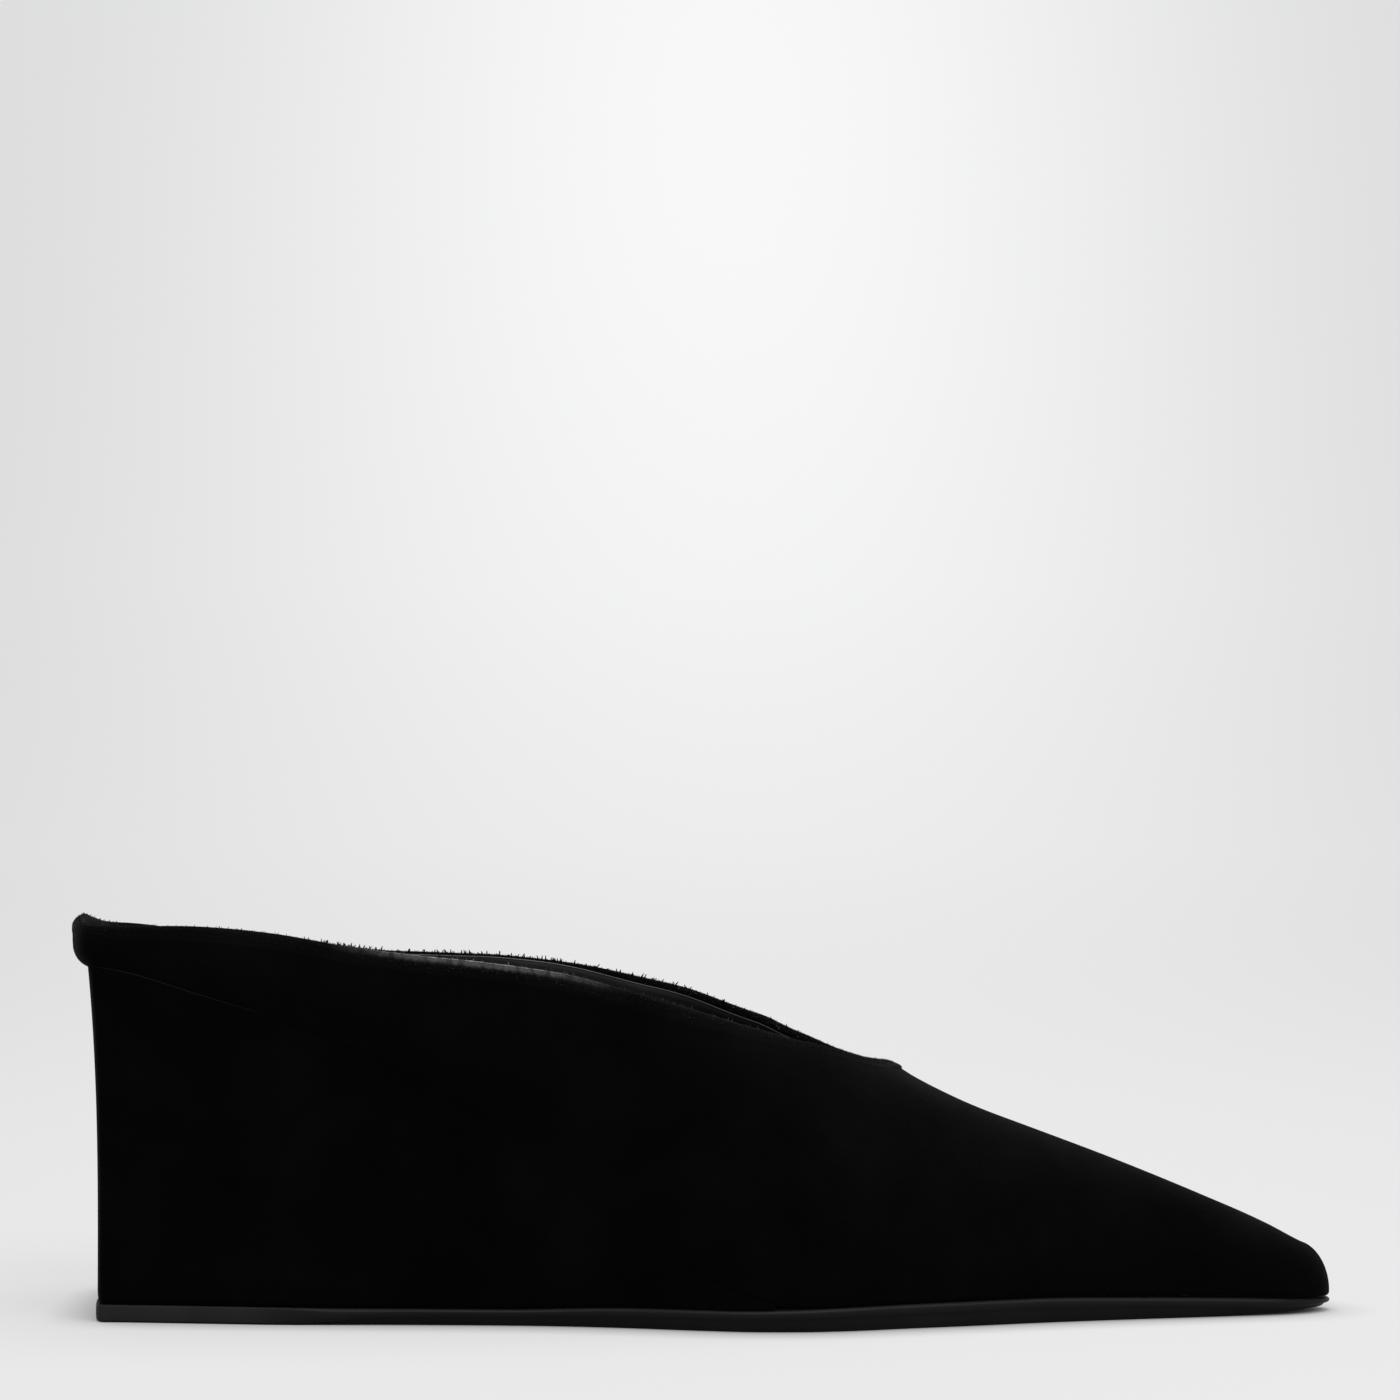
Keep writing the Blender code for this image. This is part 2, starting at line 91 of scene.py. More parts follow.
# Rim at the back: its height in the middle, its lean, and the power of the distance outwards by which it
# falls. On the inner side it also dips at the corner, and the power moves the dip along.
BACK_RIM = 0.0091
RIM_LEAN = 0.0004
RIM_FALL = {LATERAL: 1.3, MEDIAL: 0.8}
CORNER_DIP = 0.0004
CORNER_DIP_POWER = 0.6

# Insole, and the least inner corner where the wall meets its margin
INSOLE_THICKNESS = 0.0026
SMALLEST_CORNER = 0.0004

# Plan of the back and of the toe: how square the corners are, and how far the middle of the back stands out
COLLAR_SQUARENESS = 5.0
HEEL_SQUARENESS = 11.0
COLLAR_BOW = 0.0020
HEEL_BOW = 0.0015
TIP_OFFSET = 0.0012
TOE_SIDE = 0.84
TOE_FRONT = 0.45
NOSE_TOP = 0.980

# Where both sides of the collar meet on the ridge, as a share of the length
THROAT = 0.647

# Layers of the wall, counted from the outer face inwards, and how much of the margin is built under the foot
VELVET_DEPTH = 0.0008
LINING_START = 0.0012
LINING_END = 0.0019
FLANGE_SHOWN = 0.0040

# Lining's edge below the rim at the throat, at the arch and at the heel, the places and runs of its two
# changes, the least share of the wall that it covers, where its line starts behind the first section, and
# its thin edge
LINING_TOP = 0.0009
LINING_HIGH = 0.0002
LINING_HEEL = 0.0028
LINING_FALL = (-0.036, 0.022)
HEEL_FALL = (-0.108, 0.026)
SHORTEST_LINING = 0.1
LINE_START = 0.002
LINING_FIRST_ROW = 6
EDGE_RADIUS = 0.00016
EDGE_SIDES = 8

# How finely the visual shapes are stepped. Steps are finer from a share of the length behind the throat.
BACK_FINE = 48
TOE_FINE = 36
FINE_STEP = 0.0016
THROAT_STEP = 0.0005
THROAT_REACH = 0.05
SIDE_FINE = 34
ROLL_FINE = 9
CURVE_FINE = 97
SEARCH_FINE = 2000
RIM_STEP = 0.00045

# The shoulder is evened along the shoe over this distance, within this reach of the throat, below this depth
EASE = 0.004
EASE_REACH = 0.024
EASE_DEPTH = 0.006

# Folded bead of the collar: pairs of how far beyond the rim a point lies, and how far outside the wall's
# outer face
BEAD_PROFILE = [
    (-0.0038, -0.00030), (-0.0034, -0.00004), (-0.0029, 0.00008), (-0.0023, 0.00017),
    (-0.0017, 0.00029), (-0.0011, 0.00033), (-0.0006, 0.00027), (-0.0002, 0.00012), (0.0002, -0.00018),
    (0.00036, -0.00056), (0.00040, -0.00090), (0.00034, -0.00122), (0.00012, -0.00152),
    (-0.0003, -0.00170), (-0.0008, -0.00172), (-0.0014, -0.00155), (-0.0020, -0.00142),
    (-0.0028, -0.00136), (-0.0043, -0.00130), (-0.0043, -0.00100), (-0.0038, -0.00070),
]

# Rounds of smoothing of the bead's line, so that it turns the throat as a small round
RIM_SMOOTH = 14

# Stitches: how far below the rim and outside the wall they lie, how deep their ends sink, their spacing and
# length, and their thread, whose rings are pairs of a share of the length and a share of the radius
STITCH_DOWN = 0.0016
STITCH_OUT = 0.00016
STITCH_SINK = 0.0004
STITCH_PITCH = 0.0017
STITCH_LENGTH = 0.0011
THREAD_RADIUS = 0.00017
THREAD_SIDES = 6
THREAD_RINGS = ((-0.5, 0.3), (-0.42, 0.8), (-0.2, 1.0), (0.2, 1.0), (0.42, 0.8), (0.5, 0.3))

# Dimples at the stitches, only on the part of the bead's profile that lies further out than the last number
DIMPLE_DEPTH = 0.00014
DIMPLE_WIDTH = 0.00045
DIMPLE_FACE = -0.0006

# Rim fibres: fine ones and thicker tufts, as count, shortest and longest length, width,
# and the first and last point of the bead's profile between which they stand
FINE_PILE = (15000, 0.00010, 0.00034, 0.00012, 3.0, 17.0)
TUFT_PILE = (430, 0.00055, 0.00095, 0.00036, 8.6, 11.4)

# Fibres: how deep they are rooted, how unevenly they lean, how wide their ends are beside their feet,
# the power that makes most of them short, and how far the bead's middle lies below its rim
PILE_ROOT = 0.0001
PILE_LEAN = 0.40
PILE_BLUNT = 0.5
PILE_POWER = 1.5
BEAD_MIDDLE = 0.001

# Near the heel the rim's pile lies flatter: behind this place it has the lowest share of its length
SMOOTH_PILE = -0.095
PILE_RISE = 0.02
LOWEST_PILE = 0.5

# Cord of the folded lower edge: the row of the wall that it follows, its first section and the place of its
# end, its radius, its ends' share of that, and its sides
FOLD_ROW = 4
FOLD_START = BACK_FINE * 2 // 3
FOLD_END = -0.086
FOLD_RADIUS = 0.00018
FOLD_THINNEST = 0.2
FOLD_SIDES = 6

# Sole: shares of its height at the bevel's levels, how low the bevel's fold lies, and the lip, which turns
# through these degrees and changes its depth and power from the heel forward, from a place and over a run
BEVEL_SHARES = (0, 0.08, 0.35, 0.7, 0.93)
FOLD_LOW = 0.8
LIP_STEPS = 11
LIP_TURNS = (-85, 90)
LIP_DEPTH = (0.0004, 0.0009)
LIP_POWER = (0.3, 1.0)
LIP_ROUNDS = (0.165, 0.055)

# Wedge cover: its levels, its tucked lower edge, and how far its top goes up under the roll
WEDGE_FINE = 60
COVER_TUCK = 0.0003
TUCK_SHARE = 0.03
COVER_LIFT = 0.0002

# Footbed: its round edge with its steps, the gap round it, its largest run inwards and its least half width,
# the shares of an inset that its back and its tip take, and pairs of an inset and how far the top dips there
FOOTBED_ROUND = 0.0009
FOOTBED_STEPS = 7
FOOTBED_GAP = 0.0003
FOOTBED_RUN = 0.0033
FOOTBED_NARROWEST = 0.0008
BACK_INSET = 1 / 3
TIP_INSET = 1 / 2
FOOTBED_DIPS = ((0.003, 0.00003), (0.006, 0.0001), (0.010, 0.0002), (0.014, 0.0003))

# Velvet: its greys over its soft patches, as pairs of place and grey, and the part of the noise that counts.
# The collar's pile, pressed flat by the foot, gets a painted highlight: it comes in and fades out between
# places along the shoe, on the outer side only, towards the crown of the bead, by how far its face looks up,
# and in streaks, and it lightens the colour towards this grey besides adding sheen.
VELVET_GREYS = ((0.30, 0.0005), (0.55, 0.0007), (0.80, 0.0011))
PATCH_RANGE = (0.3, 0.8)
HIGHLIGHT_RISE = (-0.078, -0.048)
HIGHLIGHT_FALL = (-0.046, -0.014)
HIGHLIGHT_SIDE = (-0.005, 0.005)
HIGHLIGHT_CROWN = (0.08, 0.60)
PAINTED_HIGHLIGHT_GREY = 0.036
STREAK_RANGE = (0.35, 0.65)

# Rubber: ground matt behind these places and satin ahead of them, with a dark and a light shade each
GROUND_EDGE = (-0.096, -0.080)
SATIN_SHADES = ((0.0045, 0.0045, 0.0046), (0.006, 0.006, 0.0062))
GROUND_SHADES = ((0.0095, 0.0095, 0.0097), (0.0125, 0.0125, 0.0128))
SATIN_ROUGHNESS = 0.38
GROUND_ROUGHNESS = 0.62

# Grain of leather: its cells, and how much darker and lighter its patches are
LEATHER_CELLS = 1300
LEATHER_SHADES = ((0.3, 0.75), (0.7, 1.3))

# Studio: a round pale floor that sweeps up all round, with a glow of its own that is strongest high behind
# the shoe
FLOOR_RADIUS = 0.5
FLOOR_STEPS = 6
SWEEP_REACH = 3.5
SWEEP_HEIGHT = 2.6
SWEEP_STEPS = 60
STAGE_SIDES = 160
FLOOR_DROP = 0.00002
GLOW_BY_HEIGHT = ((0.0, 0.525), (0.05, 0.570), (0.2, 0.592), (0.68, 0.656))
POOL_GLOW = 0.22
POOL_PLACE = (0.02, 2.6, 0.45)
POOL_SIZE = (0.62, 3.0, 1.8)

# Contact shadow: how far it reaches, how far out the floor takes it, and its samples
CONTACT_REACH = 0.012
CONTACT_FLOOR = 0.17
CONTACT_SAMPLES = 4

# Strength of the studio's light
WORLD_STRENGTH = 0.25
KEY_POWER = 28
TOP_POWER = 20


def table(names, rows):
    """A table's columns by name. The first column is the place along the shoe, as a share of its length."""
    return dict(zip(names.split(), np.array(rows, float).T))


# Outsole's edge from the middle line, as shares of half the ball width
OUTLINE = table("along lateral medial", [
    (0.049, 0.700, 0.690), (0.110, 0.736, 0.700), (0.168, 0.768, 0.685), (0.225, 0.781, 0.662),
    (0.283, 0.783, 0.640), (0.340, 0.790, 0.630), (0.394, 0.816, 0.652), (0.444, 0.872, 0.720),
    (0.493, 0.947, 0.816), (0.543, 0.998, 0.914), (0.578, 0.990, 0.972), (0.608, 0.952, 0.998),
    (0.631, 0.905, 1.000), (THROAT, 0.864, 0.990), (0.665, 0.823, 0.965), (0.704, 0.738, 0.875),
    (0.762, 0.602, 0.720), (0.831, 0.463, 0.548), (0.896, 0.350, 0.403), (0.946, 0.262, 0.312),
])

# Outsole: top of its edge as a share of its thickness, the share of that height that the bevel takes,
# and how far the underside has lifted, as a share of the toe spring
SOLE = table("along top bevel spring", [
    (0.000, 0.70, 0.06, 0.00), (0.180, 0.70, 0.08, 0.00), (0.265, 0.70, 0.66, 0.00),
    (0.340, 0.70, 0.70, 0.00), (0.444, 0.86, 0.72, 0.00), (0.543, 0.90, 0.73, 0.00),
    (0.631, 1.00, 0.74, 0.00), (0.762, 1.04, 0.74, 0.00), (0.831, 0.95, 0.72, 0.00),
    (0.896, 0.84, 0.66, 0.10), (0.946, 0.73, 0.50, 0.40), (1.000, 0.54, 0.40, 1.00),
])

# Underside of the upper above the outsole, as a share of the wedge's rise
SEAT = table("along rise", [
    (0.000, 1.003), (0.049, 0.984), (0.110, 0.919), (0.168, 0.853), (0.225, 0.769), (0.283, 0.665),
    (0.340, 0.541), (0.394, 0.379), (0.444, 0.224), (0.493, 0.109), (0.543, 0.024), (0.578, 0.000),
    (1.000, 0.000),
])

# Collar and vamp ridge above the upper's underside, as shares of the vamp's height
SIDES = table("along lateral medial", [
    (0.000, 0.179, 0.145), (0.049, 0.203, 0.149), (0.110, 0.298, 0.226), (0.168, 0.366, 0.283),
    (0.225, 0.435, 0.361), (0.283, 0.549, 0.501), (0.340, 0.699, 0.671), (0.394, 0.885, 0.869),
    (0.444, 1.029, 1.035), (0.493, 1.116, 1.140), (0.543, 1.153, 1.168), (0.578, 1.126, 1.115),
    (0.608, 1.071, 1.042), (0.631, 1.022, 1.005), (THROAT, 1.000, 1.000), (0.665, 0.938, 0.938),
    (0.704, 0.825, 0.825), (0.762, 0.697, 0.697), (0.831, 0.561, 0.561), (0.896, 0.424, 0.424),
    (0.946, 0.313, 0.313), (0.976, 0.236, 0.236), (1.000, 0.200, 0.200),
])

# Collar's edge from the shoe's ridge line, and that line's shift to the inner side, as shares of half the
# width
COLLAR = table("along lateral medial ridge", [
    (0.049, 0.703, 0.690, 0.000), (0.110, 0.722, 0.686, 0.000), (0.168, 0.737, 0.668, 0.000),
    (0.225, 0.737, 0.648, 0.000), (0.283, 0.730, 0.632, 0.000), (0.340, 0.722, 0.624, 0.000),
    (0.394, 0.706, 0.614, 0.004), (0.444, 0.679, 0.590, 0.010), (0.493, 0.630, 0.540, 0.018),
    (0.543, 0.537, 0.450, 0.026), (0.578, 0.430, 0.360, 0.032), (0.608, 0.304, 0.254, 0.036),
    (0.631, 0.172, 0.144, 0.040), (THROAT, 0.000, 0.000, 0.043), (0.704, 0.000, 0.000, 0.060),
    (0.762, 0.000, 0.000, 0.060), (0.896, 0.000, 0.000, 0.040), (1.000, 0.000, 0.000, 0.030),
])

# Form of the wall: how its shoulder is shaped, how far it overhangs, and its rolled lower edge
FORM = table("along out drop bulge overhang run climb", [
    (0.000, 0.50, 0.40, 0.65, 1.00, 1.90, 2.60), (0.049, 0.50, 0.40, 0.30, 1.00, 0.95, 1.20),
    (0.110, 0.50, 0.38, 0.30, 0.87, 0.60, 0.65), (0.225, 0.55, 0.35, 0.40, 0.60, 0.40, 0.40),
    (0.340, 0.60, 0.33, 0.60, 0.33, 0.35, 0.35), (0.444, 0.65, 0.30, 0.80, 0.07, 0.35, 0.35),
    (0.543, 0.72, 0.24, 1.00, -0.20, 0.40, 0.40), (0.578, 0.70, 0.18, 1.00, -0.27, 0.40, 0.40),
    (0.608, 0.64, 0.10, 1.00, -0.27, 0.40, 0.40), (0.631, 0.58, 0.04, 1.00, -0.27, 0.40, 0.40),
    (THROAT, 0.55, 0.00, 1.00, -0.27, 0.40, 0.40), (0.762, 0.55, 0.00, 0.85, -0.27, 0.40, 0.40),
    (0.896, 0.60, 0.00, 0.60, -0.23, 0.40, 0.40), (0.946, 0.62, 0.00, 0.40, -0.20, 0.40, 0.40),
    (1.000, 0.63, 0.15, 0.10, -0.20, 0.35, 0.35),
])


def slopes(x, y):
    """Slopes at each row that keep the curve from swinging past its rows."""
    step = np.diff(x)
    rate = np.diff(y) / step
    inner = (rate[:-1] * step[1:] + rate[1:] * step[:-1]) / (step[:-1] + step[1:])
    limit = 2 * np.minimum(abs(rate[:-1]), abs(rate[1:]))
    same = np.sign(rate[:-1]) * (np.sign(rate[:-1]) == np.sign(rate[1:]))
    inner = same * np.minimum(abs(inner), limit)
    return np.concatenate(([rate[0]], inner, [rate[-1]]))


def read(rows, column, along):
    """A table's column at places along the shoe, on a smooth curve through its rows."""
    x = rows["along"]
    y = rows[column]
    along = np.clip(along, x[0], x[-1])
    row = np.clip(np.searchsorted(x, along, side="right") - 1, 0, len(x) - 2)
    slope = slopes(x, y)
    step = x[row + 1] - x[row]
    t = (along - x[row]) / step
    rising = t * t * (3 - 2 * t)
    start = t * (1 - t) ** 2 * step * slope[row]
    end = t * t * (1 - t) * step * slope[row + 1]
    return y[row] + rising * (y[row + 1] - y[row]) + start - end


def unit(vectors):
    """The same directions with a length of 1."""
    return vectors / np.linalg.norm(vectors, axis=-1, keepdims=True)


def lengths_along(line):
    """How far each point of a line lies from its start, along it."""
    return np.concatenate(([0], np.cumsum(np.linalg.norm(np.diff(line, axis=0), axis=1))))


def points_at(spots, lengths, line):
    """Points of a line at these lengths along it."""
    return np.stack([np.interp(spots, lengths, column) for column in line.T], axis=1)


def between(ends, share):
    """A value at a share of the way from one end to the other."""
    return ends[0] + (ends[1] - ends[0]) * share


def eased_share(place, start, run):
    """Rises smoothly from 0 to 1 over a run."""
    share = np.clip((place - start) / run, 0, 1)
    return share * share * (3 - 2 * share)


def side_name(side):
    return "lateral" if side == LATERAL else "medial"


def along_of(x):
    return x / LENGTH + 0.5


def x_of(along):
    return (along - 0.5) * LENGTH


def sole_top(x):
    return SOLE_THICKNESS * read(SOLE, "top", along_of(x))


def sole_bottom(x):
    return TOE_SPRING * read(SOLE, "spring", along_of(x))


def underside(x):
    """Height of the upper's underside, on the wedge or on the outsole."""
    return sole_top(x) + GAP + WEDGE_RISE * read(SEAT, "rise", along_of(x))


def wall_height(x, side):
    return VAMP_HEIGHT * read(SIDES, side_name(side), along_of(x))


def ridge_y(x):
    return BALL_WIDTH / 2 * read(COLLAR, "ridge", along_of(x))


def collar_y(x, side):
    """The collar's edge, measured outwards on its side."""
    return BALL_WIDTH / 2 * read(COLLAR, side_name(side), along_of(x)) + side * ridge_y(x)


def sole_y(x, side):
    """The outsole's edge, measured outwards on its side."""
    return BALL_WIDTH / 2 * read(OUTLINE, side_name(side), along_of(x))


def upper_y(x, side):
    """The upper's lower edge, measured outwards on its side."""
    return sole_y(x, side) + SIDE_OVERHANG * read(FORM, "overhang", along_of(x))


FIRST = x_of(OUTLINE["along"][0])
LAST = x_of(OUTLINE["along"][-1])
THROAT_X = x_of(THROAT)


def bezier(points, t):
    """Points on a cubic curve."""
    a, b, c, d = (np.array(point, float)[None, :] for point in points)
    t = np.asarray(t, float)[:, None]
    return (1 - t) ** 3 * a + 3 * t * (1 - t) ** 2 * b + 3 * t * t * (1 - t) * c + t**3 * d


def back_points(side, width, back, squareness, bow):
    """Plan of the back from its middle to the first section, as x and the distance outwards."""
    half = width(FIRST, side)
    turn = math.pi / 2 * np.arange(BACK_FINE) / BACK_FINE
    out = np.sin(turn) ** (2 / squareness)
    edge = back + bow * out**2
    return np.stack([FIRST - (FIRST - edge) * np.cos(turn) ** (2 / squareness), half * out], axis=1)


def side_points(side, width, places):
    return np.stack([places, width(places, side)], axis=1)


def toe_points(side, width, tip):
    """Plan of the toe from the last section, without it, to the tip."""
    middle = side * TIP_OFFSET
    half = width(LAST, side) - middle
    run = tip - LAST
    handles = [(LAST, half), (LAST + run / 2, half * TOE_SIDE), (tip, half * TOE_FRONT), (tip, 0)]
    points = bezier(handles, np.arange(1, TOE_FINE + 1) / TOE_FINE)
    points[:, 1] += middle
    return points


def half_plan(side, width, back, tip, squareness, bow, places):
    """Plan of one side from the middle of the back to the tip."""
    behind = back_points(side, width, back, squareness, bow)
    points = np.concatenate((behind, side_points(side, width, places), toe_points(side, width, tip)))
    points[:, 1] *= side
    return points


def fine_places(step, throat_step=None):
    """Places along the sides, closer together where the collar closes."""
    marks = [FIRST, LAST]
    if throat_step:
        marks[1:1] = [x_of(THROAT - THROAT_REACH), THROAT_X, THROAT_X + 2 * LINING_TOP]
    places = []
    for start, end in zip(marks, marks[1:]):
        fine = throat_step if marks[0] < start and end < LAST else step
        places.append(np.linspace(start, end, math.ceil((end - start) / fine), endpoint=False))
    return np.concatenate((*places, [LAST]))


def wall_curve(run_in, start, top, along):
    """The wall's outer face in its own section, from the roll to the collar or ridge: inwards and up."""
    rise = top - start
    handles = [
        (0, start),
        (-BULGE * read(FORM, "bulge", along), start + LOW_HANDLE * rise),
        (run_in * (1 - read(FORM, "out", along)), top - read(FORM, "drop", along) * rise),
        (run_in, top),
    ]
    return bezier(handles, np.linspace(0, 1, CURVE_FINE))


def arc(start_in, start_z, end_in, end_z, shares):
    """Points of a quarter ellipse from a flat underside to an upright wall."""
    turn = math.pi / 2 * np.asarray(shares)
    inwards = between((start_in, end_in), np.sin(turn))
    return np.stack([inwards, between((end_z, start_z), np.cos(turn))], axis=1)


def loop_halves(width, back, tip, squareness, bow, places, height):
    """Both halves of a loop round the shoe, at a height that goes by the place along it."""
    halves = []
    for side in (LATERAL, MEDIAL):
        plan = half_plan(side, width, back, tip, squareness, bow, places)
        halves.append(np.column_stack((plan, height(plan[:, 0]))))
    return halves


def section_frames(side, places):
    """Where each section of one side stands: its foot, its directions inwards, its wall's height and run.

    Round the back its rolled edge turns under square to the plan.
    """
    back = x_of(0) + BACK_TUCK
    tip = x_of(1) - TIP_STEP
    foot = half_plan(side, upper_y, back, tip, COLLAR_SQUARENESS, COLLAR_BOW, places)
    rim_back = back_points(side, collar_y, x_of(0) + RIM_LEAN, COLLAR_SQUARENESS, COLLAR_BOW)
    rim_side = side_points(side, collar_y, places)
    toe_x = LAST + (x_of(NOSE_TOP) - LAST) * np.arange(1, TOE_FINE + 1) / TOE_FINE
    rim_toe = np.stack([toe_x, side * ridge_y(toe_x)], axis=1)
    rim = np.concatenate((rim_back, rim_side, rim_toe))
    height = wall_height(rim[:, 0], side)
    across = np.minimum(1, abs(foot[:, 1]) / upper_y(FIRST, side))
    behind = np.arange(len(rim)) < BACK_FINE
    height = np.where(behind, height + (BACK_RIM - height) * (1 - across ** RIM_FALL[side]), height)
    if side == MEDIAL:
        round_back = (np.arange(BACK_FINE) / BACK_FINE) ** CORNER_DIP_POWER
        height[:BACK_FINE] -= CORNER_DIP * np.sin(math.pi * round_back) ** 2
    top = underside(rim[:, 0]) + height
    inward = np.stack([rim[:, 0], side * rim[:, 1]], axis=1) - foot
    run_in = np.linalg.norm(inward, axis=1)
    inward /= run_in[:, None]
    along = along_of(foot[:, 0])
    step = np.gradient(foot, axis=0)
    square = side * unit(np.stack([step[:, 1], -step[:, 0]], axis=1))
    square[0] = (1, 0)
    under = np.where(behind[:, None], square, inward)
    roll_x = foot[:, 0] + under[:, 0] * ROLL * read(FORM, "run", along)
    base = underside(roll_x)
    return dict(foot=foot, inward=inward, under=under, run_in=run_in, top=top, along=along, base=base)


def lining_gap(x):
    """How far the lining's edge lies below the rim: least at the arch, most round the heel."""
    front = eased_share(x, *LINING_FALL)
    heel = 1 - eased_share(x, *HEEL_FALL)
    return LINING_HIGH + (LINING_TOP - LINING_HIGH) * front + (LINING_HEEL - LINING_HIGH) * heel


def wall_grid(side, places, rim_line=None, gap=0):
    """One side of the upper's outer face: a row of points for each section, from the margin up to the rim.

    rim_line holds the x, distance outwards and height of a line that lies lower than the rim by about gap.
    """
    frames = section_frames(side, places)
    rows = []
    for index in range(len(frames["along"])):
        along = frames["along"][index]
        base = frames["base"][index]
        foot = frames["foot"][index]
        inward = frames["inward"][index]
        run = ROLL * read(FORM, "run", along)
        climb = min(ROLL * read(FORM, "climb", along), LARGEST_CLIMB * (frames["top"][index] - base))
        curve = wall_curve(frames["run_in"][index], base + climb, frames["top"][index], along)
        lengths = lengths_along(curve)
        reach = lengths[-1]
        if gap and foot[0] < THROAT_X + gap:
            if index < BACK_FINE:
                reach = max(reach - lining_gap(foot[0]), SHORTEST_LINING * reach)
            else:
                out = np.interp(foot[0], rim_line[:, 0], rim_line[:, 1])
                height = np.interp(foot[0], rim_line[:, 0], rim_line[:, 2])
                spots = np.linspace(0, reach, SEARCH_FINE)
                inwards, upwards = points_at(spots, lengths, curve).T
                away = np.hypot(abs(foot[1]) - inwards - out, upwards - height)
                reach = spots[int(np.argmin(away))]
        wall = points_at(np.linspace(0, reach, SIDE_FINE), lengths, curve)
        roll = arc(run, base, 0, base + climb, np.arange(ROLL_FINE) / ROLL_FINE)
        section = np.concatenate(([(run + FLANGE_SHOWN, base)], roll, wall))
        rolled = np.arange(len(section))[:, None] <= ROLL_FINE
        ways = np.where(rolled, frames["under"][index], inward)
        rows.append(np.column_stack((foot + ways * section[:, :1], section[:, 1])))
    return ease_throat(np.array(rows))


def ease_throat(grid):
    """The grid with its shoulder evened along the shoe near the throat, so that no crease shows."""
    place = grid[:, grid.shape[1] // 2, 0]
    spacing = abs(np.gradient(place))
    eased = grid.copy()
    for column in np.flatnonzero(abs(place - THROAT_X) < EASE_REACH):
        weight = spacing * np.exp(-(((place - place[column]) / EASE) ** 2))
        even = (weight[:, None, None] * grid).sum(axis=0) / weight.sum()
        below = np.linalg.norm(grid[column] - grid[column, -1], axis=1) / EASE_DEPTH
        share = np.clip(below, 0, 1) ** 2 * (3 - 2 * np.clip(below, 0, 1))
        share *= (1 - ((place[column] - THROAT_X) / EASE_REACH) ** 2) ** 2
        eased[column, :, 1:] += share[:, None] * (even - grid[column])[:, 1:]
    return eased


def grid_normals(grid, side):
    """Unit normals of a grid of points, pointing out of the shoe."""
    along = np.gradient(grid, axis=0)
    up = np.gradient(grid, axis=1)
    return unit(np.cross(along, up) * -side)


def sheet_of(near, far, closed_from):
    """One sheet from the grids of both sides, which share the back, the tip and the ridge."""
    columns, rows, _ = near.shape
    points = [tuple(point) for point in near.reshape(-1, 3)]
    near_index = np.arange(columns * rows).reshape(columns, rows)
    far_index = near_index.copy()
    for column in range(1, columns - 1):
        for row in range(rows):
            if row == rows - 1 and column >= closed_from:
                continue
            far_index[column, row] = len(points)
            points.append(tuple(far[column, row]))
    faces = []
    for column in range(columns - 1):
        for row in range(rows - 1):
            for index, way in ((near_index, 1), (far_index, -1)):
                first, second = index[column : column + 2, row : row + 2]
                faces.append((first[0], second[0], second[1], first[1])[::way])
    return np.array(points), faces


def point_normals(points, faces):
    """Unit normal at each point, from the faces around it."""
    corners = np.array(faces)
    first = points[corners[:, 2]] - points[corners[:, 0]]
    second = points[corners[:, 3]] - points[corners[:, 1]]
    normal = np.cross(first, second)
    total = np.zeros_like(points)
    for corner in range(4):
        np.add.at(total, corners[:, corner], normal)
    return total / np.maximum(np.linalg.norm(total, axis=1, keepdims=True), TINY)


def band(low, high, size):
    """Faces between two rings of points, which start at these numbers."""
    return [(low + i, low + (i + 1) % size, high + (i + 1) % size, high + i) for i in range(size)]


def ring_faces(rings, size):
    """Faces of a closed tube of rings."""
    return [face for ring in range(rings) for face in band(ring * size, (ring + 1) % rings * size, size)]


def capped_tube(start, rings, sides):
    """Faces of a tube of rings that is closed at both ends, from this point on."""
    last = start + (rings - 1) * sides
    walls = [face for low in range(start, last, sides) for face in band(low, low + sides, sides)]
    return walls + [tuple(reversed(range(start, start + sides))), tuple(range(last, last + sides))]


def tube(line, radius, first, second, sides):
    """Points of the rings round a line, each spanned by two directions."""
    turns = 2 * math.pi * np.arange(sides) / sides
    rays = np.cos(turns)[:, None] * first[:, None, :] + np.sin(turns)[:, None] * second[:, None, :]
    return (line[:, None, :] + radius * rays).reshape(-1, 3)


def shell(points, faces, start, end):
    """A closed layer between two depths below a sheet."""
    normal = point_normals(points, faces)
    count = len(points)
    places = np.concatenate((points - normal * start, points - normal * end))
    made = list(faces) + [tuple(corner + count for corner in reversed(face)) for face in faces]
    edges = {(face[k], face[(k + 1) % 4]) for face in faces for k in range(4)}
    for a, b in edges:
        if (b, a) not in edges:
            made.append((b, a, a + count, b + count))
    return places, sorted(made)


def loft(levels):
    """A closed body from a stack of loops, each with a lateral and a medial half."""
    loops = [np.concatenate((lateral, medial[-2:0:-1])) for lateral, medial in levels]
    size = len(loops[0])
    points = np.concatenate(loops)
    faces = []
    for level in range(len(loops) - 1):
        faces += band(level * size, (level + 1) * size, size)
    half = size // 2
    top = (len(loops) - 1) * size
    for start in (0, top):
        near = [start + index for index in range(half + 1)]
        far = [start] + [start + size - index for index in range(1, half)] + [start + half]
        for index in range(half):
            strip = list(dict.fromkeys((near[index], near[index + 1], far[index + 1], far[index])))
            faces.append(tuple(strip if start else reversed(strip)))
    return points, faces


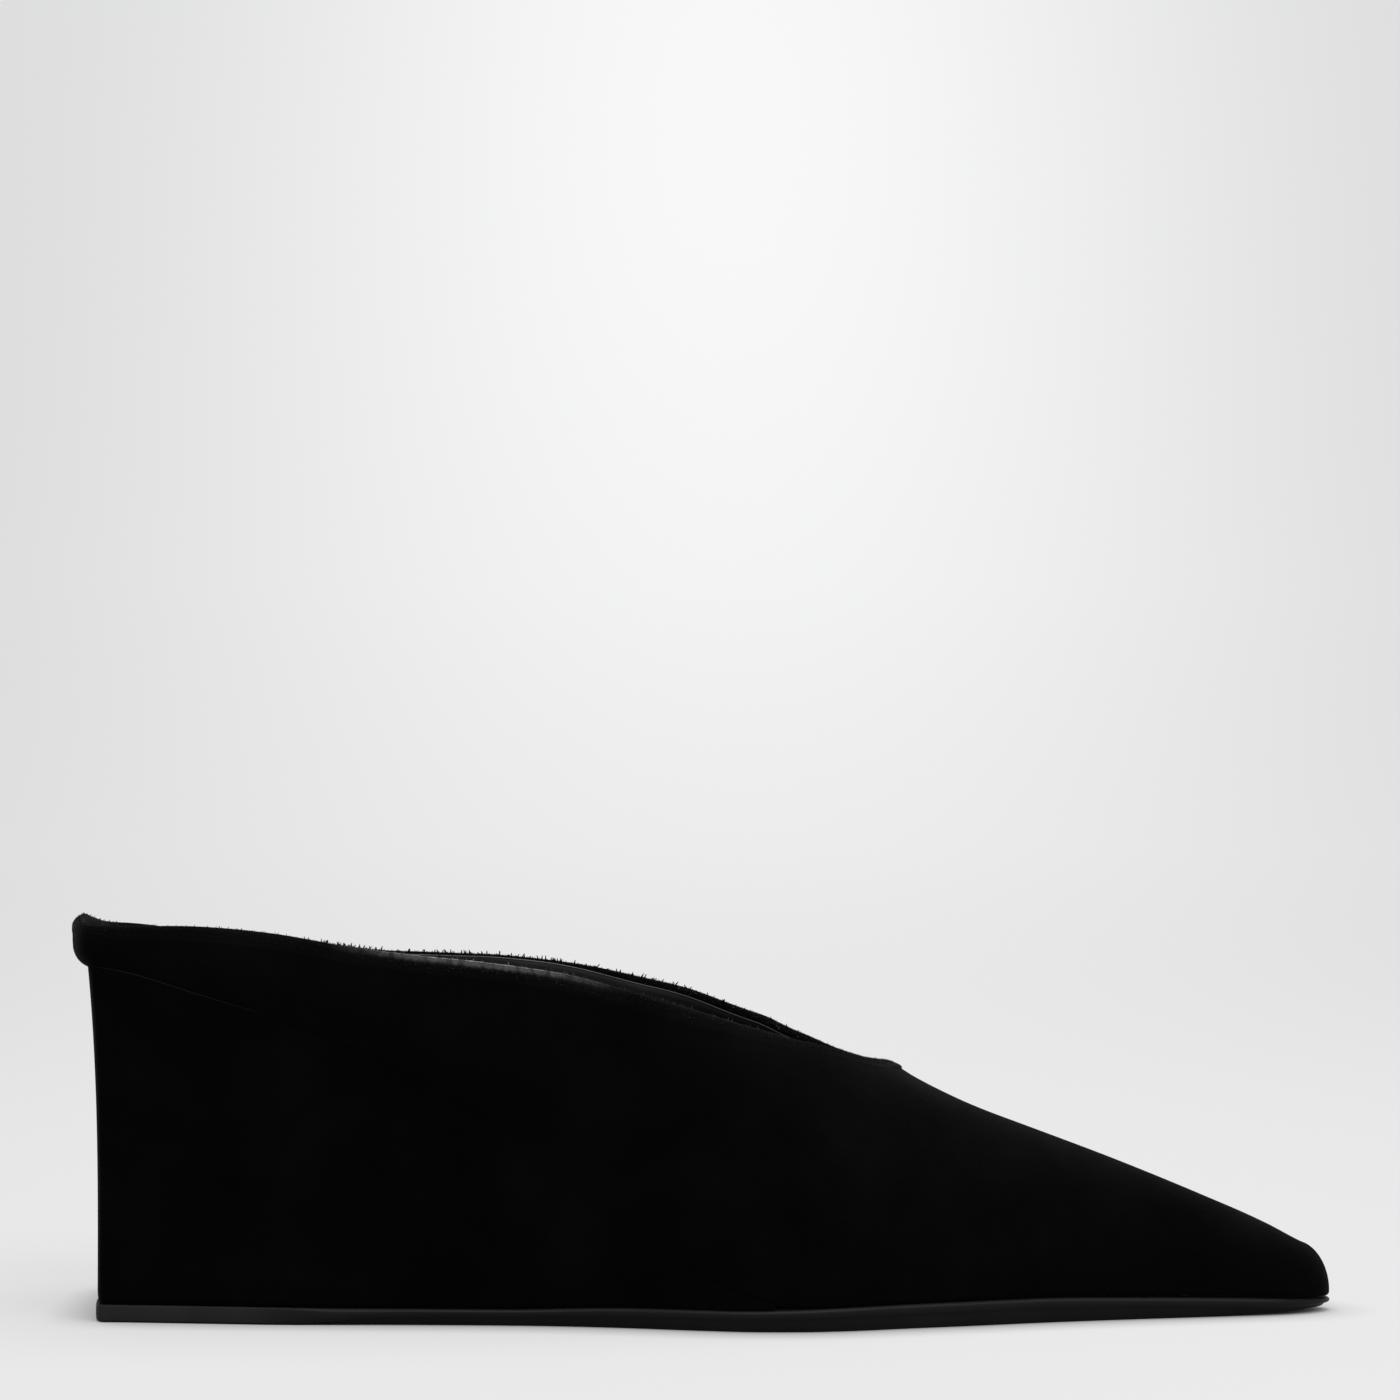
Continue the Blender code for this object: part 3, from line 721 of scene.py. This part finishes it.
def new_piece(name, points, faces, material, slot, smooth=True):
    """A mesh object that rides with the shoe."""
    mesh = bpy.data.meshes.new(name)
    corners = [tuple(map(float, point)) for point in points]
    mesh.from_pydata(corners, [], [tuple(map(int, face)) for face in faces])
    mesh.materials.append(material)
    mesh.update()
    if smooth:
        mesh.shade_smooth()
    made = bpy.data.objects.new(name, mesh)
    bpy.context.scene.collection.objects.link(made)
    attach(made, "root")
    return made


def rim_loop(near, far, near_normal, far_normal, closed_from):
    """The collar's rim as one closed line from the throat round the back, with its directions."""
    line = np.concatenate((near[closed_from:0:-1, -1], far[:closed_from, -1]))
    normal = np.concatenate((near_normal[closed_from:0:-1, -1], far_normal[:closed_from, -1]))
    line = np.concatenate((line, line[:1]))
    normal = np.concatenate((normal, normal[:1]))
    lengths = lengths_along(line)
    length = lengths[-1]
    count = round(length / RIM_STEP)
    spots = length * np.arange(count) / count
    line = smooth_loop(points_at(spots, lengths, line), RIM_SMOOTH)
    normal = smooth_loop(points_at(spots, lengths, normal), 2 * RIM_SMOOTH)
    tangent = unit(np.roll(line, -1, axis=0) - np.roll(line, 1, axis=0))
    normal = unit(normal - tangent * (normal * tangent).sum(axis=1, keepdims=True))
    beyond = np.cross(tangent, normal)
    return {"line": line, "normal": normal, "beyond": beyond, "tangent": tangent, "length": length}


def smooth_loop(values, rounds):
    """A closed row of values, each moved towards its neighbours a few times."""
    for _ in range(rounds):
        values = (np.roll(values, 1, axis=0) + 2 * values + np.roll(values, -1, axis=0)) / 4
    return values


def bead_surface(loop):
    """Rings of the folded bead along the rim, dimpled at each stitch."""
    beyond, out = np.array(BEAD_PROFILE).T
    count = len(loop["line"])
    place = loop["length"] * np.arange(count) / count
    pitch = loop["length"] / round(loop["length"] / STITCH_PITCH)
    from_stitch = (place / pitch - np.round(place / pitch)) * pitch
    dimple = DIMPLE_DEPTH * np.exp(-((from_stitch / DIMPLE_WIDTH) ** 2))
    near_line = np.exp(-(((beyond + STITCH_DOWN) / DIMPLE_WIDTH) ** 2)) * (out > DIMPLE_FACE)
    depth = out[None, :] - dimple[:, None] * near_line[None, :]
    along_rim = loop["line"][:, None, :] + loop["beyond"][:, None, :] * beyond[None, :, None]
    return along_rim + loop["normal"][:, None, :] * depth[:, :, None]


def stitch_pieces(loop):
    """Short thread stitches that lie in the dimples of the bead's outer face."""
    count = len(loop["line"])
    total = round(loop["length"] / STITCH_PITCH)
    along, wide = np.array(THREAD_RINGS).T
    places = np.arange(total)[:, None] / total * count + along * STITCH_LENGTH / loop["length"] * count
    places = places.ravel() % count
    index = places.astype(int)
    share = (places - index)[:, None]
    after = (index + 1) % count
    line, normal, beyond = (
        loop[key][index] * (1 - share) + loop[key][after] * share for key in ("line", "normal", "beyond")
    )
    sunk = np.tile(STITCH_SINK * (abs(along) / 0.5) ** 4, total)[:, None]
    centre = line - beyond * STITCH_DOWN + normal * (STITCH_OUT - sunk)
    radius = THREAD_RADIUS * np.tile(wide, total)[:, None, None]
    points = tube(centre, radius, normal, beyond, THREAD_SIDES)
    starts = range(0, len(points), len(along) * THREAD_SIDES)
    return points, [face for start in starts for face in capped_tube(start, len(along), THREAD_SIDES)]


def pile_spikes(loop, surface, kind, seed):
    """Short fibres that stand out of the bead, each a closed three-sided prism that narrows upwards."""
    count, shortest, longest, wide, first, last = kind
    random = np.random.default_rng(seed)
    rings = len(surface)
    ring = random.integers(0, rings, count)
    spot = random.uniform(first, last, count)
    index = np.floor(spot).astype(int)
    share = (spot - index)[:, None]
    slide = random.uniform(0, 1, count)[:, None]
    after = (ring + 1) % rings
    here = surface[ring, index] * (1 - share) + surface[ring, index + 1] * share
    there = surface[after, index] * (1 - share) + surface[after, index + 1] * share
    foot = here * (1 - slide) + there * slide
    across = surface[ring, index + 1] - surface[ring, index]
    along = loop["tangent"][ring]
    normal = unit(np.cross(across, along))
    middle = loop["line"][ring] - loop["beyond"][ring] * BEAD_MIDDLE - loop["normal"][ring] * WALL / 2
    normal *= np.sign((normal * (foot - middle)).sum(axis=1, keepdims=True))
    lean = unit(normal + random.normal(0, PILE_LEAN, (count, 3)))
    raised = np.clip((foot[:, :1] - SMOOTH_PILE) / PILE_RISE, LOWEST_PILE, 1)
    length = between((shortest, longest), random.uniform(0, 1, count)[:, None] ** PILE_POWER) * raised
    side = unit(np.cross(lean, along))
    third = np.cross(lean, side)
    corners = []
    for height, share in ((-PILE_ROOT, 1), (length, PILE_BLUNT)):
        for turn in (0, 2 * math.pi / 3, 4 * math.pi / 3):
            ray = side * math.cos(turn) + third * math.sin(turn)
            corners.append(foot + lean * height + ray * wide * raised * share / 2)
    points = np.stack(corners, axis=1).reshape(-1, 3)
    base = 6 * np.arange(count)[:, None]
    ends = np.concatenate([base + np.array(face) for face in ((2, 1, 0), (3, 4, 5))])
    walls = np.concatenate([base + np.array(face) for face in ((0, 1, 4, 3), (1, 2, 5, 4), (2, 0, 3, 5))])
    return points, [tuple(face) for face in ends] + [tuple(face) for face in walls]


def seam_fold(grid):
    """A fine cord along the upper's folded lower edge, from the back corner forward."""
    line = grid[FOLD_START:, FOLD_ROW]
    line = line[line[:, 0] < FOLD_END]
    share = np.arange(len(line)) / (len(line) - 1)
    radius = FOLD_RADIUS * np.maximum(FOLD_THINNEST, np.sqrt(4 * share * (1 - share)))
    tangent = unit(np.gradient(line, axis=0))
    side = unit(np.cross(tangent, (0, 0, 1)))
    points = tube(line, radius[:, None, None], side, np.cross(side, tangent), FOLD_SIDES)
    return points, capped_tube(0, len(line), FOLD_SIDES)


def outsole_levels(places):
    """Loops of the outsole from its underside up: the bevel, and the lip, flat at the heel and then round."""

    def roundness(x):
        return eased_share(along_of(x), *LIP_ROUNDS)

    def level(inset, height):
        def width(x, side):
            return sole_y(x, side) - inset(x)

        back = x_of(0) + SOLE_BACK + inset(x_of(0))
        tip = x_of(1) - inset(x_of(1))
        return loop_halves(width, back, tip, HEEL_SQUARENESS, HEEL_BOW, places, height)

    def fold_share(x):
        return read(SOLE, "bevel", along_of(x))

    def edge_height(x):
        return sole_top(x) - sole_bottom(x)

    def bevel_level(share):
        def inset(x):
            return between(LIP_DEPTH, roundness(x)) + BEVEL_DEPTH * fold_share(x) * (1 - share)

        def height(x):
            return sole_bottom(x) + edge_height(x) * fold_share(x) * share * FOLD_LOW

        return level(inset, height)

    def lip_level(turn):
        def inset(x):
            power = between(LIP_POWER, roundness(x))
            return between(LIP_DEPTH, roundness(x)) * (1 - math.cos(turn) ** power)

        def height(x):
            low = edge_height(x) * fold_share(x) * FOLD_LOW
            return sole_bottom(x) + low + (edge_height(x) - low) * (0.5 + 0.5 * math.sin(turn))

        return level(inset, height)

    turns = np.linspace(*LIP_TURNS, LIP_STEPS) / 180 * math.pi
    return [bevel_level(share) for share in BEVEL_SHARES] + [lip_level(turn) for turn in turns]


def wedge_levels(places):
    """Loops of the covered wedge from the outsole up to the seam under the upper."""
    front = x_of(WEDGE_FRONT)
    places = np.append(places[places < front], front)

    def bottom(x):
        return sole_top(x) + GAP / 2

    def top(x):
        return underside(x) + COVER_LIFT

    def half(side, share, inset):
        flare = share**3

        def width(x, side):
            return sole_y(x, side) - COVER_STEP + SIDE_FLARE * read(SEAT, "rise", along_of(x)) * flare - inset

        back = x_of(0) + SOLE_BACK + COVER_STEP - BACK_FLARE * flare + inset
        behind = back_points(side, width, back, HEEL_SQUARENESS, HEEL_BOW)
        plan = np.concatenate((behind, side_points(side, width, places), [(front, 0)]))
        x = plan[:, 0]
        return np.column_stack((x, side * plan[:, 1], bottom(x) + (top(x) - bottom(x)) * share))

    steps = np.linspace(0, 1, WEDGE_FINE)
    insets = COVER_TUCK * np.maximum(0, 1 - steps / TUCK_SHARE) ** 2
    return [(half(LATERAL, share, inset), half(MEDIAL, share, inset)) for share, inset in zip(steps, insets)]


def footbed_levels(places):
    """Loops of the footbed: a soft edge and a crowned top that dips a little under the heel."""

    def level(inset, lift):
        def edge_inset(x):
            run = np.clip(ROLL * read(FORM, "run", along_of(x)), WALL + SMALLEST_CORNER, FOOTBED_RUN)
            return run + FOOTBED_GAP + inset

        def width(x, side):
            return np.maximum(upper_y(x, side) - edge_inset(x), FOOTBED_NARROWEST)

        def height(x):
            return underside(x) + WALL + GAP + lift

        back = x_of(0) + BACK_TUCK + edge_inset(x_of(0)) - inset * (1 - BACK_INSET)
        tip = x_of(1) - COVER_STEP - 2 * WALL - ROLL - inset * TIP_INSET
        return loop_halves(width, back, tip, COLLAR_SQUARENESS, COLLAR_BOW, places, height)

    levels = [level(0, 0)]
    for turn in np.linspace(0, 1, FOOTBED_STEPS) * math.pi / 2:
        inset = FOOTBED_ROUND * (1 - math.cos(turn))
        levels.append(level(inset, INSOLE_THICKNESS - FOOTBED_ROUND * (1 - math.sin(turn))))
    return levels + [level(inset, INSOLE_THICKNESS - dip) for inset, dip in FOOTBED_DIPS]


def shader_of(name, color, roughness, specular):
    """A Principled material with its nodes and its shader."""
    made = bpy.data.materials.new(name)
    made.use_nodes = True
    nodes = made.node_tree.nodes
    shader = nodes["Principled BSDF"]
    feed(shader, {"Base Color": (*color, 1), "Roughness": roughness, "Specular IOR Level": specular})
    return made, nodes, shader


def feed(node, inputs):
    """Sets a node's inputs to a number or a colour, or links them to a socket."""
    for name, value in inputs.items():
        if isinstance(value, bpy.types.NodeSocket):
            node.id_data.links.new(value, node.inputs[name])
        else:
            node.inputs[name].default_value = value


def add(nodes, kind, inputs=None):
    """A new node with its inputs fed."""
    made = nodes.new("ShaderNode" + kind)
    feed(made, inputs or {})
    return made


def object_place(nodes, scale=(1, 1, 1)):
    """The place on the shoe, stretched by scale along each axis."""
    place = add(nodes, "TexCoord").outputs["Object"]
    return add(nodes, "Mapping", {"Scale": scale, "Vector": place}).outputs["Vector"]


def noise(nodes, vector, scale, detail=2.0, roughness=0.5):
    inputs = {"Scale": scale, "Detail": detail, "Roughness": roughness, "Vector": vector}
    return add(nodes, "TexNoise", inputs).outputs["Fac"]


def ramp(nodes, value, stops):
    """A colour ramp through stops of position and colour."""
    made = add(nodes, "ValToRGB", {"Fac": value})
    elements = made.color_ramp.elements
    while len(elements) < len(stops):
        elements.new(0.5)
    for element, (position, color) in zip(elements, stops):
        element.position = position
        element.color = (*color, 1)
    return made.outputs["Color"]


def spread(nodes, value, source, target, smooth=False):
    """A value mapped from one range to another."""
    made = add(nodes, "MapRange", {"Value": value})
    feed(made, dict(zip(("From Min", "From Max", "To Min", "To Max"), (*source, *target))))
    if smooth:
        made.interpolation_type = "SMOOTHSTEP"
    return made.outputs["Result"]


def bump(nodes, height, strength, distance, before=None):
    made = add(nodes, "Bump", {"Strength": strength, "Distance": distance, "Height": height})
    if before:
        feed(made, {"Normal": before})
    return made.outputs["Normal"]


def blend(nodes, share, first, second):
    """One colour that goes over to another, which is a socket or a grey value."""
    made = add(nodes, "Mix")
    made.data_type = "RGBA"
    if isinstance(second, float):
        second = (second, second, second, 1)
    feed(made, {"Factor": share, "A": first, "B": second})
    return made.outputs["Result"]


def times(nodes, first, second):
    made = add(nodes, "Math", {0: first, 1: second})
    made.operation = "MULTIPLY"
    return made.outputs["Value"]


def velvet(name, sheen, pressed_pile_highlight, light):
    """Black velvet: almost no light straight on, a soft sheen at grazing angles, fine pile, pressed patches.

    The collar's pile also gets a painted highlight where the foot has pressed it flat, on the outer side and
    towards the bead's up-facing crown: it lightens the colour and adds sheen, by a given amount. The factor
    light paints all the greys lighter.
    """
    made, nodes, shader = shader_of(name, color=(0.0007, 0.0007, 0.0007), roughness=0.95, specular=0.02)
    feed(shader, {"Sheen Roughness": 0.35, "Sheen Tint": (0.93, 0.95, 1.0, 1)})
    patches = noise(nodes, object_place(nodes), scale=55, detail=3, roughness=0.55)
    # The factor light paints the greys of the collar's and the pile's copies lighter than the body's velvet.
    color = ramp(nodes, patches, [(place, (grey * light,) * 3) for place, grey in VELVET_GREYS])
    roughness = spread(nodes, patches, PATCH_RANGE, (1.0, 0.82))
    weight = spread(nodes, patches, PATCH_RANGE, (sheen * 0.8, sheen * 1.4))
    # Painted highlight: the pressed pile's colour is lightened on the outer side and towards the up-facing
    # crown of the bead.
    if pressed_pile_highlight:
        place = add(nodes, "SeparateXYZ", {"Vector": object_place(nodes)}).outputs
        rising = spread(nodes, place["X"], HIGHLIGHT_RISE, (0, pressed_pile_highlight), smooth=True)
        falling = spread(nodes, place["X"], HIGHLIGHT_FALL, (1, 0), smooth=True)
        outer = spread(nodes, place["Y"], HIGHLIGHT_SIDE, (1, 0))
        face = add(nodes, "TexCoord").outputs["Normal"]
        up = add(nodes, "SeparateXYZ", {"Vector": face}).outputs["Z"]
        crown = spread(nodes, up, HIGHLIGHT_CROWN, (0, 1), smooth=True)
        streaks = noise(nodes, object_place(nodes, (1, 0.4, 0.4)), scale=700, detail=2, roughness=0.6)
        broken = spread(nodes, streaks, STREAK_RANGE, (0.35, 1.2))
        painted_highlight = times(nodes, times(nodes, rising, falling), times(nodes, outer, broken))
        painted_highlight = times(nodes, painted_highlight, crown)
        weight = add(nodes, "Math", {0: weight, 1: painted_highlight}).outputs["Value"]
        color = blend(nodes, painted_highlight, color, PAINTED_HIGHLIGHT_GREY)
    pile = noise(nodes, object_place(nodes, (1, 1, 0.35)), scale=4200, detail=2, roughness=0.6)
    coarse = noise(nodes, object_place(nodes, (1, 1, 0.6)), scale=900, detail=2, roughness=0.5)
    normal = bump(nodes, pile, strength=0.6, distance=0.00025)
    normal = bump(nodes, coarse, strength=0.25, distance=0.0004, before=normal)
    feed(shader, {"Base Color": color, "Roughness": roughness, "Sheen Weight": weight, "Normal": normal})
    return made


def leather(name, color, roughness, specular):
    """Smooth black leather with a fine grain and uneven satin."""
    made, nodes, shader = shader_of(name, color, roughness, specular)
    place = object_place(nodes)
    patches = noise(nodes, place, scale=60, detail=3)
    shades = [(stop, tuple(channel * share for channel in color)) for stop, share in LEATHER_SHADES]
    color = ramp(nodes, patches, shades)
    uneven = spread(nodes, patches, (0.3, 0.7), (roughness + 0.06, roughness - 0.05))
    cells = add(nodes, "TexVoronoi", {"Scale": LEATHER_CELLS, "Vector": place})
    cells.feature = "DISTANCE_TO_EDGE"
    grain = bump(nodes, cells.outputs["Distance"], strength=0.12, distance=0.0001)
    pores = noise(nodes, place, scale=2600, detail=3)
    fine = bump(nodes, pores, strength=0.10, distance=0.0001, before=grain)
    feed(shader, {"Base Color": color, "Roughness": uneven, "Normal": fine})
    return made


def rubber():
    """Black rubber: satin along the lip, and ground matt at the heel."""
    made, nodes, shader = shader_of("black_rubber", (0.005, 0.005, 0.0051), SATIN_ROUGHNESS, specular=0.08)
    place = object_place(nodes)
    along = add(nodes, "SeparateXYZ", {"Vector": place}).outputs["X"]
    ground = spread(nodes, along, GROUND_EDGE, (1, 0), smooth=True)
    patches = noise(nodes, place, scale=120, detail=4)
    shades = [ramp(nodes, patches, [(0.3, low), (0.75, high)]) for low, high in (SATIN_SHADES, GROUND_SHADES)]
    uneven = spread(nodes, ground, (0, 1), (SATIN_ROUGHNESS, GROUND_ROUGHNESS))
    fine = bump(nodes, noise(nodes, place, scale=1800, detail=3), strength=0.10, distance=0.0001)
    feed(shader, {"Base Color": blend(nodes, ground, *shades), "Roughness": uneven, "Normal": fine})
    return made


def thread():
    """Dull black thread with a fine twist."""
    made, nodes, shader = shader_of("black_thread", (0.0016, 0.0016, 0.0016), roughness=0.85, specular=0.04)
    twist = noise(nodes, object_place(nodes), scale=3500, detail=1)
    normal = bump(nodes, twist, strength=0.4, distance=0.0001)
    feed(shader, {"Roughness": spread(nodes, twist, (0.3, 0.7), (0.7, 0.9)), "Normal": normal})
    return made


def build_stage():
    """A pale floor that sweeps up all round, so that no line shows behind the shoe."""
    radii = [FLOOR_RADIUS * (step + 1) / FLOOR_STEPS for step in range(FLOOR_STEPS)]
    radii += [FLOOR_RADIUS + SWEEP_REACH * (step + 1) / SWEEP_STEPS for step in range(SWEEP_STEPS)]
    points = [(0, 0, -FLOOR_DROP)]
    for radius in radii:
        height = SWEEP_HEIGHT * max(0, (radius - FLOOR_RADIUS) / SWEEP_REACH) ** 3 - FLOOR_DROP
        for turn in range(STAGE_SIDES):
            angle = 2 * math.pi * turn / STAGE_SIDES
            points.append((radius * math.cos(angle), radius * math.sin(angle), height))
    faces = [(0, 1 + turn, 1 + (turn + 1) % STAGE_SIDES) for turn in range(STAGE_SIDES)]
    for ring in range(len(radii) - 1):
        low = 1 + ring * STAGE_SIDES
        for turn in range(STAGE_SIDES):
            after = (turn + 1) % STAGE_SIDES
            faces.append((low + turn, low + STAGE_SIDES + turn, low + STAGE_SIDES + after, low + after))
    mesh = bpy.data.meshes.new("studio_floor")
    mesh.from_pydata(points, [], faces)
    mesh.shade_smooth()
    floor = bpy.data.objects.new("studio_floor", mesh)
    bpy.context.scene.collection.objects.link(floor)
    for name, near in (("studio_near", True), ("studio_far", False)):
        mesh.materials.append(studio_look(name, near))
    inner = sum(radius <= CONTACT_FLOOR for radius in radii) * STAGE_SIDES
    for number, face in enumerate(mesh.polygons):
        face.material_index = int(number >= inner)


def studio_look(name, near):
    """Pale card with an even glow, which rises a little with height and in a wide pool high behind the shoe.

    Near the shoe it takes a contact shadow.
    """
    made, nodes, shader = shader_of(name, color=(0.16, 0.16, 0.1605), roughness=0.95, specular=0.0)
    place = add(nodes, "TexCoord").outputs["Object"]
    mapping = add(nodes, "Mapping")
    mapping.vector_type = "TEXTURE"
    feed(mapping, {"Vector": place, "Location": POOL_PLACE, "Scale": POOL_SIZE})
    pool = add(nodes, "TexGradient", {"Vector": mapping.outputs["Vector"]})
    pool.gradient_type = "SPHERICAL"
    up = add(nodes, "SeparateXYZ", {"Vector": place}).outputs["Z"]
    height_glow = ramp(nodes, up, [(height, (glow,) * 3) for height, glow in GLOW_BY_HEIGHT])
    height_glow.node.color_ramp.interpolation = "B_SPLINE"
    pool_glow = spread(nodes, pool.outputs["Fac"], (0, 1), (0, POOL_GLOW), smooth=True)
    glow = add(nodes, "Math", {0: height_glow, 1: pool_glow}).outputs["Value"]
    if near:
        open_share = add(nodes, "AmbientOcclusion", {"Distance": CONTACT_REACH})
        open_share.samples = CONTACT_SAMPLES
        glow = times(nodes, glow, open_share.outputs["AO"])
    feed(shader, {"Emission Color": (0.99, 0.992, 1.0, 1), "Emission Strength": glow})
    made.cycles.emission_sampling = "NONE"
    return made


def soft_light(name, place, aim, wide, high, power):
    """A soft box that faces a point."""
    data = bpy.data.lights.new(name, "AREA")
    data.shape = "RECTANGLE"
    data.size = wide
    data.size_y = high
    data.energy = power
    made = bpy.data.objects.new(name, data)
    made.location = place
    made.rotation_euler = (Vector(aim) - Vector(place)).to_track_quat("-Z", "Y").to_euler()
    bpy.context.scene.collection.objects.link(made)


def build_light():
    world = bpy.data.worlds.new("studio_light")
    world.use_nodes = True
    feed(world.node_tree.nodes["Background"], {"Color": (0.99, 0.99, 1.0, 1), "Strength": WORLD_STRENGTH})
    bpy.context.scene.world = world
    soft_light("soft_box_front", (0.25, -1.0, 1.25), aim=(0.05, 0, 0.03), wide=2.0, high=0.8, power=KEY_POWER)
    soft_light("soft_box_above", (0.1, 0.3, 1.4), aim=(0, 0, 0.04), wide=1.2, high=1.2, power=TOP_POWER)


def build_camera():
    data = bpy.data.cameras.new("camera")
    data.sensor_width = SENSOR_WIDTH
    data.lens = FOCAL_PIXELS * SENSOR_WIDTH / FRAME_PIXELS
    camera = bpy.data.objects.new("camera", data)
    camera.location = CAMERA_PLACE
    camera.rotation_euler = (math.pi / 2, CAMERA_ROLL, 0)
    bpy.context.scene.collection.objects.link(camera)
    bpy.context.scene.camera = camera


def build_shoe():
    velvet_look = velvet("black_velvet", sheen=0.02, pressed_pile_highlight=0, light=1)
    # The collar's and the pile's velvet are copies painted twice as light, with the painted highlight of the
    # pressed pile.
    rim_look = velvet("black_velvet_collar_painted_light", sheen=0.035, pressed_pile_highlight=2.0, light=2)
    pile_look = velvet("black_velvet_pile_painted_light", sheen=0.16, pressed_pile_highlight=0.45, light=2)
    # The fold's cord is lighter than the velvet: a painted highlight of the pile catching the light along the
    # seam.
    fold_highlight_look = leather("black_velvet_fold_painted_highlight", (0.0045, 0.0045, 0.0046), roughness=0.8, specular=0.05)
    lining_look = leather("black_lining_leather", (0.0075, 0.0075, 0.0076), roughness=0.65, specular=0.10)
    # The lining's edge is a glossier copy of the lining leather, and its lighter colour is a painted
    # highlight.
    edge_highlight_look = leather("black_lining_edge_painted_highlight", (0.016, 0.016, 0.0162), roughness=0.42, specular=0.4)
    sock_look = leather("black_sock_leather", (0.012, 0.012, 0.0122), roughness=0.45, specular=0.35)
    places = fine_places(FINE_STEP)
    close_places = fine_places(FINE_STEP, THROAT_STEP)

    near = wall_grid(LATERAL, close_places)
    far = wall_grid(MEDIAL, close_places)
    closed_from = BACK_FINE + int(np.argmax(close_places >= THROAT_X - TINY))
    velvet_sheet = shell(*sheet_of(near, far, closed_from), 0, VELVET_DEPTH)
    upper = new_piece("upper_velvet", *velvet_sheet, velvet_look, "velvet")
    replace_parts(upper, "upper")

    for name, grid in (("seam_fold_lateral", near), ("seam_fold_medial", far)):
        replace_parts(new_piece(name, *seam_fold(grid), fold_highlight_look, "velvet"), "upper")

    loop = rim_loop(near, far, grid_normals(near, LATERAL), grid_normals(far, MEDIAL), closed_from)
    surface = bead_surface(loop)
    rings, size, _ = surface.shape
    bead = new_piece("collar_bead", surface.reshape(-1, 3), ring_faces(rings, size), rim_look, "velvet")
    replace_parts(bead, "upper")
    stitches = new_piece("collar_stitches", *stitch_pieces(loop), thread(), "velvet")
    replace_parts(stitches, "upper")
    for name, kind, seed in (("collar_pile", FINE_PILE, 7), ("collar_tufts", TUFT_PILE, 11)):
        pile = new_piece(name, *pile_spikes(loop, surface, kind, seed), pile_look, "velvet", smooth=False)
        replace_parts(pile, "upper")

    lower = loop["line"] - loop["beyond"] * lining_gap(loop["line"][:, :1])
    lines = []
    for side in (LATERAL, MEDIAL):
        line = lower[side * lower[:, 1] > side * ridge_y(lower[:, 0])]
        line = line[line[:, 0] > FIRST - LINE_START]
        line = np.column_stack((line[:, 0], side * line[:, 1], line[:, 2]))
        lines.append(line[np.argsort(line[:, 0])])
    near_low = wall_grid(LATERAL, close_places, lines[0], LINING_TOP)[:, LINING_FIRST_ROW:]
    far_low = wall_grid(MEDIAL, close_places, lines[1], LINING_TOP)[:, LINING_FIRST_ROW:]
    lining_closed = BACK_FINE + int(np.argmax(close_places >= THROAT_X + LINING_TOP))
    lining_sheet = shell(*sheet_of(near_low, far_low, lining_closed), LINING_START, LINING_END)
    lining = new_piece("collar_lining", *lining_sheet, lining_look, "lining_leather")
    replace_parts(lining, "upper")
    centre = lower - loop["normal"] * (LINING_END - EDGE_RADIUS / 2)
    round_edge = tube(centre, EDGE_RADIUS, loop["beyond"], loop["normal"], EDGE_SIDES)
    edge = new_piece("lining_edge", round_edge, ring_faces(rings, EDGE_SIDES), edge_highlight_look, "lining_leather")
    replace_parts(edge, "upper")

    wedge = new_piece("wedge_cover", *loft(wedge_levels(places)), velvet_look, "velvet")
    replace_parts(wedge, "wedge_heel")
    sole = new_piece("sole_rubber", *loft(outsole_levels(places)), rubber(), "outsole_rubber")
    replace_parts(sole, "outsole")
    footbed = new_piece("footbed", *loft(footbed_levels(places)), sock_look, "lining_leather")
    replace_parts(footbed, "insole")


build_camera()
build_stage()
build_light()
build_shoe()
bpy.context.scene.view_settings.view_transform = "Standard"
